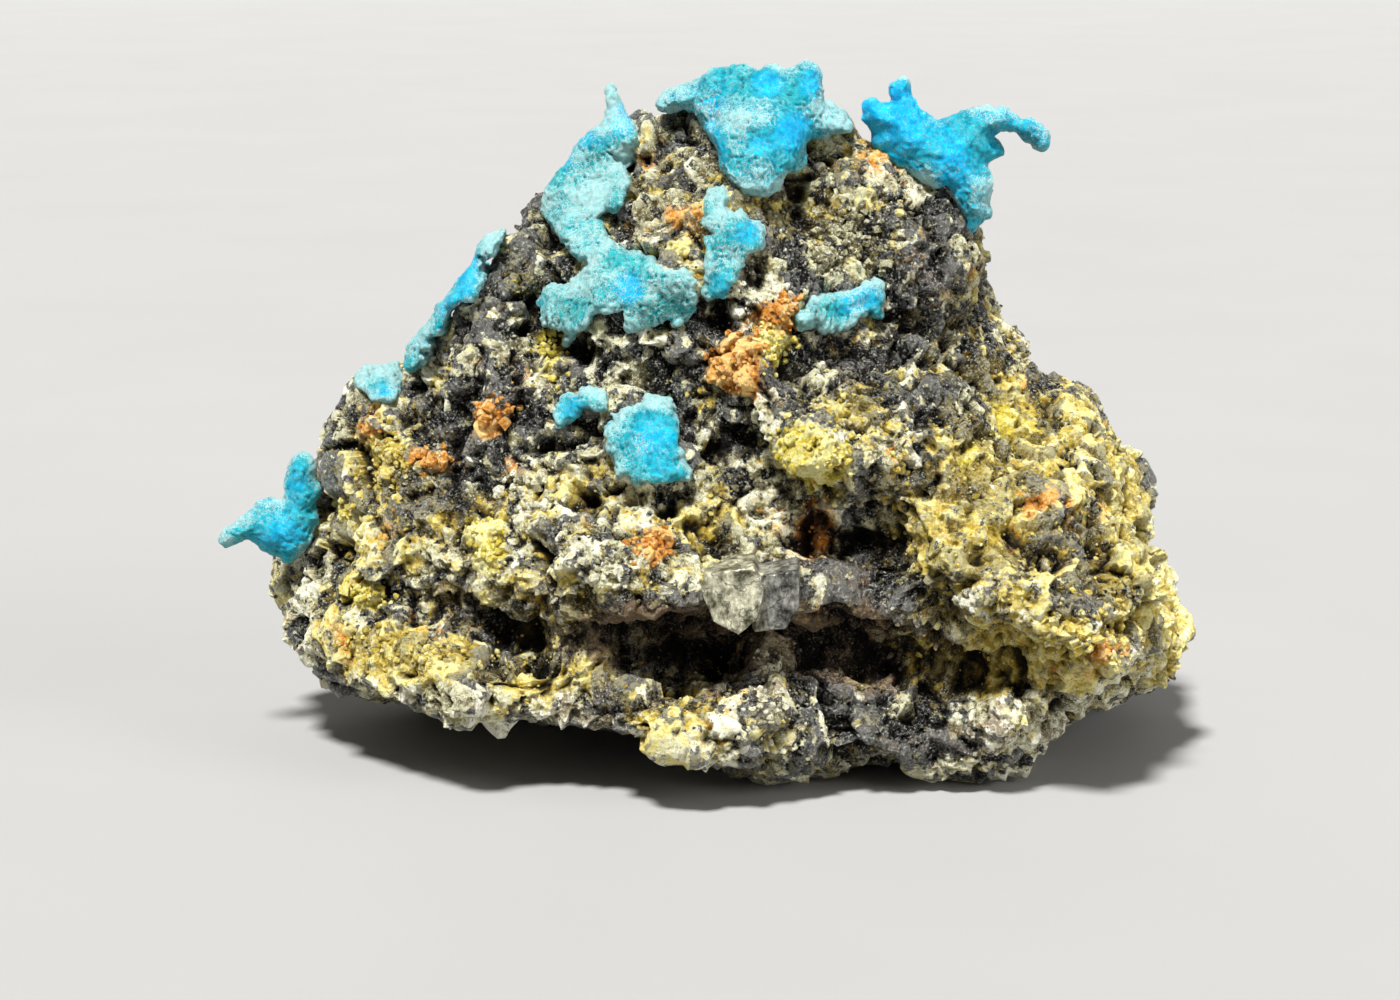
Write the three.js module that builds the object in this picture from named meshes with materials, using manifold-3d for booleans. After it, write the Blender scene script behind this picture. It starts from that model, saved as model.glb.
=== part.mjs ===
// Chalcanthite specimen: a hand-sized lump of sulphide ore with blue copper-sulphate growths on it.
// The ore is one broken piece of rock that stands on patches of its underside. Each growth is a
// separate crystal mass: crusts that follow the rock, and stubby horns and fingers that stand off it.
// Millimetres. +X to the right, +Z up, the show face looks towards -Y. The origin is the middle of the
// specimen's footprint, on the surface that it stands on.
import * as THREE from "three";
import { ConvexGeometry } from "three/addons/geometries/ConvexGeometry.js";
import { mergeVertices } from "three/addons/utils/BufferGeometryUtils.js";
import Module from "manifold-3d";

const wasm = await Module();
wasm.setup();

// ---- Driving dimensions of the rock ----

const SPINE_Y = 2; // the rock's widest section lies in this plane
const FRONT_DEPTH = 20; // from that plane to the show face, low on the rock
const BACK_DEPTH = 18; // and to the back
const LEAN_START_Z = 13; // above this height both faces slope in towards the peak
const FRONT_LEAN = 0.36; // depth lost for each millimetre of height
const BACK_LEAN = 0.34;
const LEFT_SLOPE = 0.22; // the show face also falls back towards the left
const RIM = 13; // distance from the outline over which the rock swells to its full depth
const SEAT_GAP = 0.32; // left between the rock and whatever sits on it

// The rock's outline, seen from the front as [x, z]. It runs on below the floor, where the base is cut.
const ROCK_OUTLINE = [
  [25, -8], [31, 1.5], [35, 4.5], [36.5, 8], [36.5, 11], [34.5, 14.5], [35, 16.5], [33, 21],
  [31, 24.5], [29, 26.5],
  [26, 27.5], [23.5, 29.5], [22.5, 32], [21, 33.5], [21, 36], [20, 38], [18.5, 40.5], [15, 42.5],
  [12, 45], [10.5, 46.2], [8.5, 47], [4.5, 48.2], [1, 47.7], [-1.5, 47.2], [-4, 47], [-7, 45], [-8.8, 43.6],
  [-10, 42.3], [-11.1, 40.3], [-12.5, 39.3], [-14.6, 37], [-16.1, 34.6], [-18.8, 31], [-20.4, 29],
  [-22.5, 27.5], [-25, 27.5], [-27.5, 26.5], [-28, 23], [-28.5, 20], [-30.5, 14.5], [-32, 13],
  [-33, 10.5], [-31.5, 9], [-30.5, 6.5], [-29, 4], [-24, -8],
];

// Swells and hollows of the show face: where it is, its half width and half height, and how far it
// stands out of the face, or how deep it is if negative.
const FACE_RELIEF = [
  { name: "brow over the base", x: 7, z: 17, w: 19, h: 3.5, out: 2.5 },
  { name: "recess under the brow", x: 3, z: 11, w: 15, h: 2.6, out: -5.4 },
  { name: "right end of the recess", x: 20, z: 8.5, w: 8, h: 2.4, out: -2 },
  { name: "cave at the left", x: -18.5, z: 12.7, w: 5.2, h: 2.2, out: -6 },
  { name: "ledge below the cave", x: -21.5, z: 8.5, w: 6.5, h: 1.9, out: 3.4 },
  { name: "lip of the base", x: -2, z: 4.5, w: 14, h: 2.2, out: 1.2 },
  { name: "rib in the recess", x: 4.5, z: 8, w: 1.8, h: 3.6, out: 3 },
  { name: "right shoulder", x: 26, z: 18, w: 8, h: 9, out: 2.5 },
  { name: "groove beside the shoulder", x: 21.5, z: 29, w: 1.4, h: 6, out: -2.4 },
  { name: "step below the upper block", x: 6, z: 32, w: 14, h: 1.3, out: -1.8 },
  { name: "upper block", x: 4, z: 37, w: 12, h: 4, out: 1.4 },
  { name: "cleft at the left", x: -19.6, z: 28.5, w: 1.2, h: 3.6, out: -3.6 },
  { name: "block right of the cleft", x: -16.5, z: 28.5, w: 2, h: 3, out: 1.8 },
  { name: "pit by the right groove", x: 15.5, z: 24, w: 1.5, h: 1.6, out: -2.6 },
  { name: "dark hollow", x: 13, z: 20.5, w: 2.4, h: 1.6, out: -2.6 },
  { name: "shadow line of the middle", x: -8, z: 22.5, w: 7, h: 1.1, out: -1.8 },
  { name: "yellow lump", x: 8.5, z: 25.5, w: 2.4, h: 2.4, out: 1.8 },
  { name: "orange lump", x: 3, z: 31, w: 1.7, h: 2.2, out: 2 },
  { name: "crumbs at the left", x: -24, z: 15.5, w: 2.4, h: 1.6, out: 1.6 },
  { name: "dark boss", x: 17, z: 14.5, w: 3.2, h: 2.4, out: 2.6 },
  { name: "pale lump", x: -8.5, z: 16.3, w: 2, h: 1.4, out: 1.8 },
  { name: "hollow under the crown", x: 9, z: 41, w: 2.4, h: 1.2, out: -1.6 },
  { name: "hollow under the ledge growth", x: 8.6, z: 30.6, w: 2.8, h: 1, out: -1.8 },
  { name: "seat of the pyrite", x: 3.6, z: 15.2, w: 3.6, h: 2.8, out: -2.4 },
  { name: "dimple of the left face", x: -7, z: 38, w: 3, h: 2, out: -1.5 },
];

// Flat faces where the rock was broken off: the way each one looks, and its distance from the origin.
const SPLIT_FACES = [
  { name: "back left", facing: [-0.62, 0.75, 0.22], distance: 27 },
  { name: "back right", facing: [0.7, 0.66, 0.26], distance: 33 },
  { name: "upper back", facing: [0.1, 0.72, 0.69], distance: 36 },
  { name: "front left", facing: [-0.55, -0.8, 0.22], distance: 24.5 },
  { name: "front right", facing: [0.72, -0.66, 0.2], distance: 35 },
];

// How high the underside is above the floor, and the patches that come down to it or stay higher.
const BASE_LIFT = 1.7;
const BASE_PATCHES = [
  { name: "middle foot", x: 5.5, y: -10.5, r: 3.8, down: 4.2 },
  { name: "right foot", x: 20, y: -10, r: 4.4, down: 4.2 },
  { name: "back left foot", x: -15, y: 8, r: 7, down: 3.6 },
  { name: "back right foot", x: 15, y: 12, r: 6, down: 3.6 },
  { name: "arch between the front feet", x: 12.8, y: -15, r: 3.5, down: -2 },
  { name: "undercut left corner", x: -22, y: -12, r: 12, down: -4.2 },
  { name: "undercut left front", x: -6, y: -16, r: 7, down: -3.2 },
  { name: "undercut right corner", x: 33, y: -10, r: 8, down: -4.5 },
];

// Broken faces of the rock: block size and how far blocks of that size stand in or out.
const BLOCKS = [
  { size: 11, height: 1.8, tilt: 0.36, salt: 11 },
  { size: 5.2, height: 1.2, tilt: 0.45, salt: 23 },
];
const WARP = 1.8; // how far the big lumps push the sides and the back in and out
const WARP_SIZE = 13;
const QUIET = 7; // the outline's own plane is left almost smooth over this distance

// ---- Repeatable roughness ----

// A repeatable number from 0 to 1 for a cell of a lattice.
function chance(i, j, k, salt) {
  let h = Math.imul(i, 374761393) ^ Math.imul(j, 668265263) ^ Math.imul(k, 1274126177);
  h = Math.imul(h ^ Math.imul(salt, 2246822519) ^ (h >>> 13), 1103515245);
  h = Math.imul(h ^ (h >>> 15), 2654435761);
  return ((h ^ (h >>> 16)) >>> 0) / 4294967296;
}

// Rock broken into flat-faced blocks: each block has one height and one tilt of its own, and
// neighbours meet in short steep steps.
function blockHeight(p, { size, height, tilt, salt }) {
  const STEEPNESS = 20;
  const [ci, cj, ck] = [p.x, p.y, p.z].map((v) => Math.floor(v / size));
  let weights = 0;
  let sum = 0;
  for (let i = ci - 1; i <= ci + 1; i++)
    for (let j = cj - 1; j <= cj + 1; j++)
      for (let k = ck - 1; k <= ck + 1; k++) {
        const dx = p.x / size - i - chance(i, j, k, salt);
        const dy = p.y / size - j - chance(i, j, k, salt + 1);
        const dz = p.z / size - k - chance(i, j, k, salt + 2);
        const weight = Math.exp(-STEEPNESS * (dx * dx + dy * dy + dz * dz));
        const [sx, sy, sz] = [3, 4, 5].map((n) => (chance(i, j, k, salt + n) - 0.5) * 2 * tilt * size);
        const level = (chance(i, j, k, salt + 6) - 0.5) * 2 * height;
        sum += weight * (level + dx * sx + dy * sy + dz * sz);
        weights += weight;
      }
  return sum / weights;
}

// Smooth lumps, from -1 to 1.
function lumps(p, size, salt) {
  const q = [p.x / size, p.y / size, p.z / size];
  const cell = q.map(Math.floor);
  const t = q.map((v, n) => v - cell[n]).map((v) => v * v * (3 - 2 * v));
  let sum = 0;
  for (let corner = 0; corner < 8; corner++) {
    const bit = [corner & 1, (corner >> 1) & 1, corner >> 2];
    const weight = bit.reduce((w, b, n) => w * (b ? t[n] : 1 - t[n]), 1);
    sum += weight * chance(cell[0] + bit[0], cell[1] + bit[1], cell[2] + bit[2], salt);
  }
  return 2 * sum - 1;
}

// ---- Surfaces from distance fields ----

// Distance from the edge of an outline, positive inside it.
function insideOutline(outline, x, z) {
  let nearest = Infinity;
  let inside = false;
  outline.forEach(([ax, az], n) => {
    const [bx, bz] = outline[(n + 1) % outline.length];
    const along = ((x - ax) * (bx - ax) + (z - az) * (bz - az)) / ((bx - ax) ** 2 + (bz - az) ** 2);
    const t = Math.min(Math.max(along, 0), 1);
    nearest = Math.min(nearest, Math.hypot(x - ax - t * (bx - ax), z - az - t * (bz - az)));
    if (az > z !== bz > z && x < ax + ((z - az) * (bx - ax)) / (bz - az)) inside = !inside;
  });
  return inside ? nearest : -nearest;
}

const bump = (u, v) => Math.exp(-(u * u + v * v));

// A face of the sample grid whose corners alternate would join two sheets at one edge, so the corner
// nearest to the surface changes sides until no such face is left.
function untangle(value, index, [ni, nj, nk]) {
  const planes = [[[1, 0, 0], [0, 1, 0]], [[1, 0, 0], [0, 0, 1]], [[0, 1, 0], [0, 0, 1]]];
  const moved = new Set();
  let before = -1;
  while (moved.size > before) {
    before = moved.size;
    for (let i = 0; i < ni; i++)
      for (let j = 0; j < nj; j++)
        for (let k = 0; k < nk; k++)
          for (const [a, b] of planes) {
            const [far1, far2] = [[i + a[0], j + a[1], k + a[2]], [i + b[0], j + b[1], k + b[2]]];
            const far3 = far1.map((v, n) => v + b[n]);
            if (far3[0] >= ni || far3[1] >= nj || far3[2] >= nk) continue;
            const corners = [index(i, j, k), index(...far1), index(...far3), index(...far2)];
            const outer = corners.map((c) => value[c] > 0);
            if (outer[0] === outer[1] || outer[0] !== outer[2] || outer[1] !== outer[3]) continue;
            const free = corners.filter((c) => !moved.has(c));
            const nearest = free.sort((m, n) => Math.abs(value[m]) - Math.abs(value[n]))[0];
            value[nearest] = value[nearest] > 0 ? -0.01 : 0.01;
            moved.add(nearest);
          }
  }
}

// The surface where a field is zero, as a closed mesh of a grid's cells. place(i, j, k) is where a
// corner of the grid lies, so the grid may be stretched or fanned out.
function surfaceOf(field, counts, place) {
  const [ni, nj, nk] = counts;
  const index = (i, j, k) => (i * nj + j) * nk + k;
  const point = [];
  const value = [];
  for (let i = 0; i < ni; i++)
    for (let j = 0; j < nj; j++)
      for (let k = 0; k < nk; k++) {
        const p = place(i, j, k);
        const border = i === 0 || j === 0 || k === 0 || i === ni - 1 || j === nj - 1 || k === nk - 1;
        point.push(p);
        value.push(border ? Math.max(field(p), 0.01) : field(p));
      }
  untangle(value, index, counts);

  const vertices = [];
  const vertexOfCell = new Map();
  const cellVertex = (i, j, k) => {
    const cell = index(i, j, k);
    if (vertexOfCell.has(cell)) return vertexOfCell.get(cell);
    const sum = new THREE.Vector3();
    let crossings = 0;
    for (let corner = 0; corner < 8; corner++)
      for (const bit of [1, 2, 4]) {
        if (corner & bit) continue;
        const [a, b] = [corner, corner | bit].map((c) =>
          index(i + (c & 1), j + ((c >> 1) & 1), k + (c >> 2)),
        );
        if (value[a] > 0 === value[b] > 0) continue;
        sum.add(point[a].clone().lerp(point[b], value[a] / (value[a] - value[b])));
        crossings++;
      }
    vertexOfCell.set(cell, vertices.length / 3);
    vertices.push(...sum.divideScalar(crossings));
    return vertexOfCell.get(cell);
  };

  const triangles = [];
  const at = (n) => new THREE.Vector3().fromArray(vertices, 3 * n);
  const ring = [[0, 0], [-1, 0], [-1, -1], [0, -1]];
  for (let i = 1; i < ni; i++)
    for (let j = 1; j < nj; j++)
      for (let k = 1; k < nk; k++)
        for (let axis = 0; axis < 3; axis++) {
          const start = [i - 1, j - 1, k - 1];
          const [u, v] = [(axis + 1) % 3, (axis + 2) % 3];
          start[u]++;
          start[v]++;
          if (start[u] >= counts[u] - 1 || start[v] >= counts[v] - 1) continue;
          const end = [...start];
          end[axis]++;
          const [a, b] = [value[index(...start)], value[index(...end)]];
          if (a > 0 === b > 0) continue;
          const quad = ring.map(([du, dv]) => {
            const cell = [...start];
            cell[u] += du;
            cell[v] += dv;
            return cellVertex(...cell);
          });
          if (a > 0) quad.reverse();
          const [q0, q1, q2, q3] = quad;
          const short = at(q0).distanceTo(at(q2)) < at(q1).distanceTo(at(q3));
          triangles.push(...(short ? [q0, q1, q2, q0, q2, q3] : [q0, q1, q3, q1, q2, q3]));
        }
  return new THREE.BufferGeometry()
    .setAttribute("position", new THREE.Float32BufferAttribute(vertices, 3))
    .setIndex(triangles);
}

// A closed mesh as a solid that can be joined and cut, and back.
function solidOf(geometry) {
  const bare = geometry.clone();
  bare.deleteAttribute("normal");
  bare.deleteAttribute("uv");
  const merged = mergeVertices(bare, 1e-4);
  return new wasm.Manifold(
    new wasm.Mesh({
      numProp: 3,
      vertProperties: merged.attributes.position.array,
      triVerts: new Uint32Array(merged.index.array),
    }),
  );
}

function geometryOf(solid) {
  const mesh = solid.getMesh();
  return new THREE.BufferGeometry()
    .setAttribute("position", new THREE.BufferAttribute(new Float32Array(mesh.vertProperties), 3))
    .setIndex(new THREE.BufferAttribute(new Uint32Array(mesh.triVerts), 1));
}

// The biggest connected body of a solid, without the bubbles inside it.
function mainBody(solid) {
  return solid.decompose().sort((a, b) => b.volume() - a.volume())[0];
}

// ---- The rock ----

// About the distance from the rock without its roughness, below zero inside it. Seen from the side
// the rock bulges out of its outline like half an ellipse, forwards and backwards.
function rockBody(p) {
  const high = Math.max(p.z - LEAN_START_Z, 0);
  const left = Math.max(-p.x - 4, 0);
  const relief = FACE_RELIEF.reduce(
    (sum, r) => sum + r.out * bump((p.x - r.x) / r.w, (p.z - r.z) / r.h),
    0,
  );
  const front = FRONT_DEPTH - FRONT_LEAN * high - LEFT_SLOPE * left + relief;
  const depth = p.y < SPINE_Y ? front : BACK_DEPTH - BACK_LEAN * high;
  const across = Math.max(1 - insideOutline(ROCK_OUTLINE, p.x, p.z) / RIM, 0.001);
  const along = Math.abs(p.y - SPINE_Y) / depth;
  const reach = Math.hypot(across, along);
  const lump = ((reach - 1) * reach) / Math.hypot(across / RIM, along / depth);
  return SPLIT_FACES.reduce(
    (deepest, s) => Math.max(deepest, s.facing[0] * p.x + s.facing[1] * p.y + s.facing[2] * p.z - s.distance),
    lump,
  );
}

// About the distance in millimetres from the finished rock, below zero inside it.
function rockField(p) {
  const loud = Math.min(Math.abs(p.y - SPINE_Y) / QUIET, 1);
  const push = new THREE.Vector3(lumps(p, WARP_SIZE, 31), lumps(p, WARP_SIZE, 32), lumps(p, WARP_SIZE, 33));
  const body = rockBody(p.clone().addScaledVector(push, WARP * loud));
  const rough = BLOCKS.reduce((sum, block) => sum + blockHeight(p, block), 0);
  const lift = BASE_PATCHES.reduce(
    (sum, f) => sum - f.down * bump((p.x - f.x) / f.r, (p.y - f.y) / f.r),
    BASE_LIFT,
  );
  return Math.max(body - rough * (0.3 + 0.7 * loud), lift + lumps(p, 3.5, 41) * 0.6 - p.z);
}

// The rock's grid fans out from a point in front of the show face, so that face gets the finest mesh.
const FAN_POINT = new THREE.Vector3(1.2, -80, 21);
const FAN_COUNTS = [43, 19, 32]; // across, back and up
const FAN_STEP = 1.9; // grid spacing at the show face
const FAN_FRONT_Y = -22;

function fanPlace(i, j, k) {
  const near = FAN_FRONT_Y - FAN_POINT.y;
  const growth = 1 + FAN_STEP / near;
  const depth = near * growth ** j;
  const spread = (FAN_STEP * depth) / near;
  return new THREE.Vector3(
    FAN_POINT.x + (i - (FAN_COUNTS[0] - 1) / 2) * spread,
    FAN_POINT.y + depth,
    FAN_POINT.z + (k - (FAN_COUNTS[2] - 1) / 2) * spread,
  );
}

// The rock, and the same shape grown by the seating gap, which everything on the rock is cut by.
function makeRock() {
  const FLOOR = 100;
  const floor = solidOf(new THREE.BoxGeometry(FLOOR, FLOOR, FLOOR).translate(0, 0, -FLOOR / 2));
  const rough = mainBody(solidOf(surfaceOf(rockField, FAN_COUNTS, fanPlace)));
  const grown = mainBody(solidOf(surfaceOf((p) => rockField(p) - SEAT_GAP, FAN_COUNTS, fanPlace)));
  return { rock: mainBody(rough.subtract(floor)), grown: grown.add(rough) };
}

// ---- The blue growths ----

// A growth fills its outline [x, z]. A crust covers the rock inside it, thick in the middle and
// rounded off over the width of its rim; one that wraps over a crest also ends at an oval in plan,
// given as its middle and half widths [x, y, half x, half y]. A flat growth stands free in the plane
// y and bulges to both sides of it. Stems, chains of balls [x, y, z, radius] with the gaps between
// them filled in, are grown into one with it. depth is the range of y in which the growth lies and
// step the spacing of the grid that it is meshed on.
const GROWTHS = [
  {
    name: "crown_crust",
    step: 1.25,
    depth: [-11, 6],
    plan: [4.2, -1.8, 8.4, 6.8],
    thick: 2.7,
    rim: 1.5,
    outline: [
      [-3.1, 47.9], [-2.2, 48.9], [-1.4, 49], [-0.9, 49.5], [1.5, 50.8], [5.2, 51], [5.6, 50.7],
      [6.3, 50.7], [7.3, 51.1], [7.9, 51], [8.7, 50.1], [8.8, 49.4], [8.5, 48.4], [10.2, 47.5], [11.3, 46],
      [10.8, 45.8], [8.7, 45.7], [7.7, 45.3], [7.5, 44.9], [7.8, 44], [7.2, 43.1], [6.6, 43], [6.1, 43.6],
      [5.7, 42.6], [5, 42.4], [3.7, 42.5], [2.4, 42.9], [1.8, 43.6], [0.6, 46.4], [0.9, 47.4], [1.2, 47.7],
      [0.9, 47.9], [-0.7, 47.9], [-2.7, 47.5],
    ],
    stems: [
      [[1.9, -2.2, 48.4, 1.7], [1.9, -2.2, 49.6, 1.1]],
      [[5, -2.4, 48.6, 1.8], [5, -2.4, 49.7, 1.1]],
      [[7.4, -2.2, 48.5, 1.7], [7.6, -2.2, 49.7, 1.2]],
      [[4.2, -6.5, 44.9, 2], [5, -5.6, 46.6, 2]],
      [[-1.8, -1, 48, 1], [0.8, -1, 48.6, 1.3]],
    ],
  },
  {
    name: "horn_growth",
    step: 0.95,
    depth: [-5, 2],
    flat: { y: -1.5, bulge: 1.4 },
    outline: [
      [11.8, 47.9], [11.9, 48.2], [12.6, 48.5], [13.8, 48.4], [13.6, 49.3], [14.8, 50], [15.5, 49.4],
      [15.3, 48.9], [15.8, 47.9], [16.9, 46.9], [17.4, 46.7], [18.1, 47.1], [18.6, 47.1], [20.8, 47.9],
      [22, 47.9], [23.2, 46.9], [24.1, 47.1], [24.7, 46.8], [25.5, 45.6], [25.3, 44.7], [24.8, 44.5],
      [22.6, 45.8], [21.7, 45.6], [21.7, 45.3], [22.3, 44.6], [22.3, 44.2], [21.1, 43.7], [21, 43.4],
      [21.3, 42.9], [21.4, 42.2], [21.2, 41.2], [21.5, 40], [21.3, 39.5], [20.6, 39.2], [20, 38.5],
      [19.6, 38.6], [19.3, 39.1], [18.3, 41.8], [18, 42], [17.5, 41.8], [16, 42.4], [15, 43.2], [14, 43.5],
      [12.7, 44.7], [12.5, 45.2], [12.6, 45.8], [11.8, 46.8],
    ],
  },
  {
    name: "draped_crust",
    step: 1.2,
    depth: [-15, 4],
    plan: [-6.5, -7, 8.5, 9.5],
    thick: 2.1,
    rim: 1.1,
    outline: [
      [-7, 46.3], [-6.2, 46.4], [-4.6, 45.7], [-4.7, 45.4], [-5.7, 44.7], [-6.1, 44], [-5.5, 43.5],
      [-5.1, 42.4], [-5.1, 41.6], [-5.3, 40.9], [-6.7, 39.7], [-6.8, 38.4], [-6.2, 38.6], [-2.8, 37.4],
      [-1.1, 37.2], [-0.5, 36.9], [-0.1, 36.2], [-0, 35.5], [-0.3, 34], [-1.4, 33.2], [-3.2, 32.8],
      [-4.8, 32.7], [-5.2, 32.9], [-5.5, 34.1], [-6.8, 33.8], [-7.9, 33.2], [-8.2, 32.8], [-9.5, 30.8],
      [-9.9, 30.8], [-9.9, 31.9], [-10.4, 32.1], [-10.8, 31.9], [-11.2, 32.1], [-11.9, 34], [-11.6, 34.6],
      [-11, 35.1], [-9.7, 35.3], [-8.2, 37], [-8.8, 36.7], [-9.1, 37.2], [-11, 38.7], [-11.7, 39.9],
      [-12.2, 40], [-12.6, 39.7], [-12.9, 40.8], [-12, 41.7], [-11.7, 42.5], [-10.8, 43.1], [-10.7, 43.8],
      [-9.7, 45.5], [-8.6, 46.2],
    ],
    stems: [
      [[-5.4, -0.6, 44.9, 1.3], [-6.2, -0.3, 46.8, 0.9], [-6.6, -0.2, 48.9, 0.65]],
    ],
  },
  {
    name: "ribbon_crust",
    step: 0.95,
    depth: [-15, -5],
    thick: 1.7,
    rim: 0.9,
    outline: [
      [0.2, 41.8], [1.4, 42.5], [1.9, 42.4], [2.5, 41.9], [1.6, 41.6], [1.6, 41.3], [2.9, 41.2],
      [4.6, 40.1], [4.7, 39.6], [4.5, 38.5], [3.5, 38.1], [3.2, 37.7], [2, 35], [1.4, 34.8], [0.6, 35.1],
      [0.4, 36.1], [0.7, 37.2], [0.2, 39.2], [0.7, 39.6], [0.1, 40.2], [-0, 41.2],
    ],
  },
  {
    name: "ledge_crust",
    step: 1.05,
    depth: [-14, -2],
    thick: 2.1,
    rim: 0.9,
    outline: [
      [7.5, 34.4], [7.9, 35.1], [10.4, 35.1], [12.4, 36], [13.2, 36.1], [13.4, 35.8], [13.4, 35.1],
      [13.1, 33.7], [13.2, 33.2], [13, 33.1], [12.7, 32.9], [11.7, 33.4], [10.5, 32.5], [8, 32.6],
      [7.2, 32.8], [6.9, 33.1], [6.8, 33.5],
    ],
  },
  {
    name: "edge_crust",
    step: 1.2,
    depth: [-10, 5],
    plan: [-18, -2.8, 6, 5.8],
    thick: 2.4,
    rim: 0.9,
    outline: [
      [-22.1, 28.6], [-21.8, 30.3], [-21.3, 31.3], [-20.2, 32.4], [-17.8, 35.6], [-17, 37.5], [-15.9, 38.5],
      [-14.2, 38.7], [-14.2, 38], [-14.7, 37.3], [-16, 36.4], [-15.6, 35.6], [-15.9, 34.7], [-16.4, 34.3],
      [-17.1, 34.1], [-18, 33.2], [-17.9, 32.8], [-18.1, 32], [-19.4, 30.8], [-20.3, 28.9], [-21.7, 28.1],
    ],
  },
  {
    name: "shoulder_crust",
    step: 1.1,
    depth: [-7, 2],
    thick: 1.2,
    rim: 0.9,
    outline: [
      [-25.1, 28.3], [-22.5, 28.6], [-22.7, 27.3], [-22.2, 27.3], [-22.4, 26.7], [-23.6, 26.3],
      [-24.3, 26.4], [-25.2, 27.1], [-25.3, 27.5],
    ],
  },
  {
    name: "finger_growth",
    step: 0.95,
    depth: [-6, 2],
    flat: { y: -2.4, bulge: 1.3 },
    outline: [
      [-30.5, 21.4], [-30.3, 21.9], [-29.4, 22.4], [-28.8, 22.3], [-28.5, 21.8], [-28.2, 19.6],
      [-28.5, 18.3], [-28.2, 17.6], [-28.3, 17], [-28.7, 16.6], [-28.6, 16.1], [-29.8, 14.5], [-30.6, 13.8],
      [-31.1, 14], [-31.3, 14.4], [-32.3, 14.5], [-32.8, 14.8], [-33.5, 15.7], [-35.4, 15.1], [-35.9, 15.4],
      [-36, 15.7], [-35.4, 16.6], [-33.3, 18], [-33, 18.5], [-32, 19.2], [-31.1, 18.5], [-30.8, 19],
    ],
  },
  {
    name: "small_patch",
    step: 1.05,
    depth: [-16, -5],
    thick: 1.4,
    rim: 0.9,
    outline: [
      [-10.2, 27.7], [-9.6, 28.2], [-7.4, 28.7], [-7, 28.5], [-6.9, 28.2], [-6.8, 27.4], [-7.2, 27.2],
      [-8.1, 27], [-9.1, 26], [-9.8, 25.8], [-10.2, 25.9], [-10.4, 26.3], [-10.4, 27.3],
    ],
  },
  {
    name: "centre_patch",
    step: 1.2,
    depth: [-18, -8],
    thick: 1.9,
    rim: 1.1,
    outline: [
      [-6.7, 26.3], [-6.3, 27], [-3.7, 28], [-2.7, 28], [-1.7, 27.3], [-1.4, 26.8], [-1.2, 24.1],
      [-0.8, 23.7], [-0, 22.5], [-0.6, 22.4], [-1.8, 22.5], [-3, 22.3], [-3.9, 22.6], [-4.4, 22.5],
      [-5.9, 23.1], [-6.3, 24],
    ],
  },
];
const GROWTH_LUMP = 2.4; // size of the lumps on them

// Two distances merged with a fillet instead of a crease.
function blend(a, b) {
  const FILLET = 0.8;
  const near = Math.max(FILLET - Math.abs(a - b), 0) / FILLET;
  return Math.min(a, b) - (near * near * FILLET) / 4;
}

// Distance from a chain of balls, each joined to the next by a cone.
function stemField(p, chain) {
  return chain.slice(1).reduce((nearest, [bx, by, bz, br], n) => {
    const [ax, ay, az, ar] = chain[n];
    const axis = new THREE.Vector3(bx - ax, by - ay, bz - az);
    const arm = p.clone().sub(new THREE.Vector3(ax, ay, az));
    const t = Math.min(Math.max(arm.dot(axis) / axis.lengthSq(), 0), 1);
    return Math.min(nearest, arm.addScaledVector(axis, -t).length() - ar - t * (br - ar));
  }, Infinity);
}

// About the distance from a crust: full thickness inside its border, rounded off at the border.
function crustField(p, { outline, plan = [0, 0, 99, 99], thick, rim }) {
  const [cx, cy, rx, ry] = plan;
  const round = (1 - Math.hypot((p.x - cx) / rx, (p.y - cy) / ry)) * Math.min(rx, ry);
  const inside = Math.min(insideOutline(outline, p.x, p.z), round + 0.6 * lumps(p, GROWTH_LUMP, 64));
  const above = rockField(p);
  const across = Math.max(1 - inside / rim, 0);
  const up = above / (thick * (1 + 0.2 * lumps(p, GROWTH_LUMP, 61)));
  return (Math.hypot(across, up) - 1) * Math.min(thick, rim);
}

// About the distance from a flat growth: the wider its outline, the further it bulges.
function sprayField(p, { outline, flat }) {
  const inside = insideOutline(outline, p.x, p.z) + 0.2 * lumps(p, GROWTH_LUMP, 63);
  return 0.6 * (((p.y - flat.y) / flat.bulge) ** 2 - inside);
}

function makeGrowth(growth) {
  const { outline, stems = [], depth, step } = growth;
  const balls = stems.flat();
  const xs = [...outline.map(([x]) => x), ...balls.flatMap(([x, , , r]) => [x - r, x + r])];
  const zs = [...outline.map(([, z]) => z), ...balls.flatMap(([, , z, r]) => [z - r, z + r])];
  const low = [Math.min(...xs), depth[0], Math.min(...zs)].map((v) => v - 2 * step);
  const high = [Math.max(...xs), depth[1], Math.max(...zs)].map((v) => v + 2 * step);
  const counts = low.map((v, n) => Math.ceil((high[n] - v) / step) + 1);
  const field = (p) => {
    const crust = growth.flat ? sprayField(p, growth) : crustField(p, growth);
    const knobs = stems.map((chain) => stemField(p, chain) - 0.25 * lumps(p, GROWTH_LUMP, 62));
    return [crust, ...knobs].reduce(blend);
  };
  const place = (i, j, k) => new THREE.Vector3(...low).addScaledVector(new THREE.Vector3(i, j, k), step);
  return mainBody(solidOf(surfaceOf(field, counts, place)).subtract(grown));
}

// ---- The pyrite crystals ----

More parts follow.
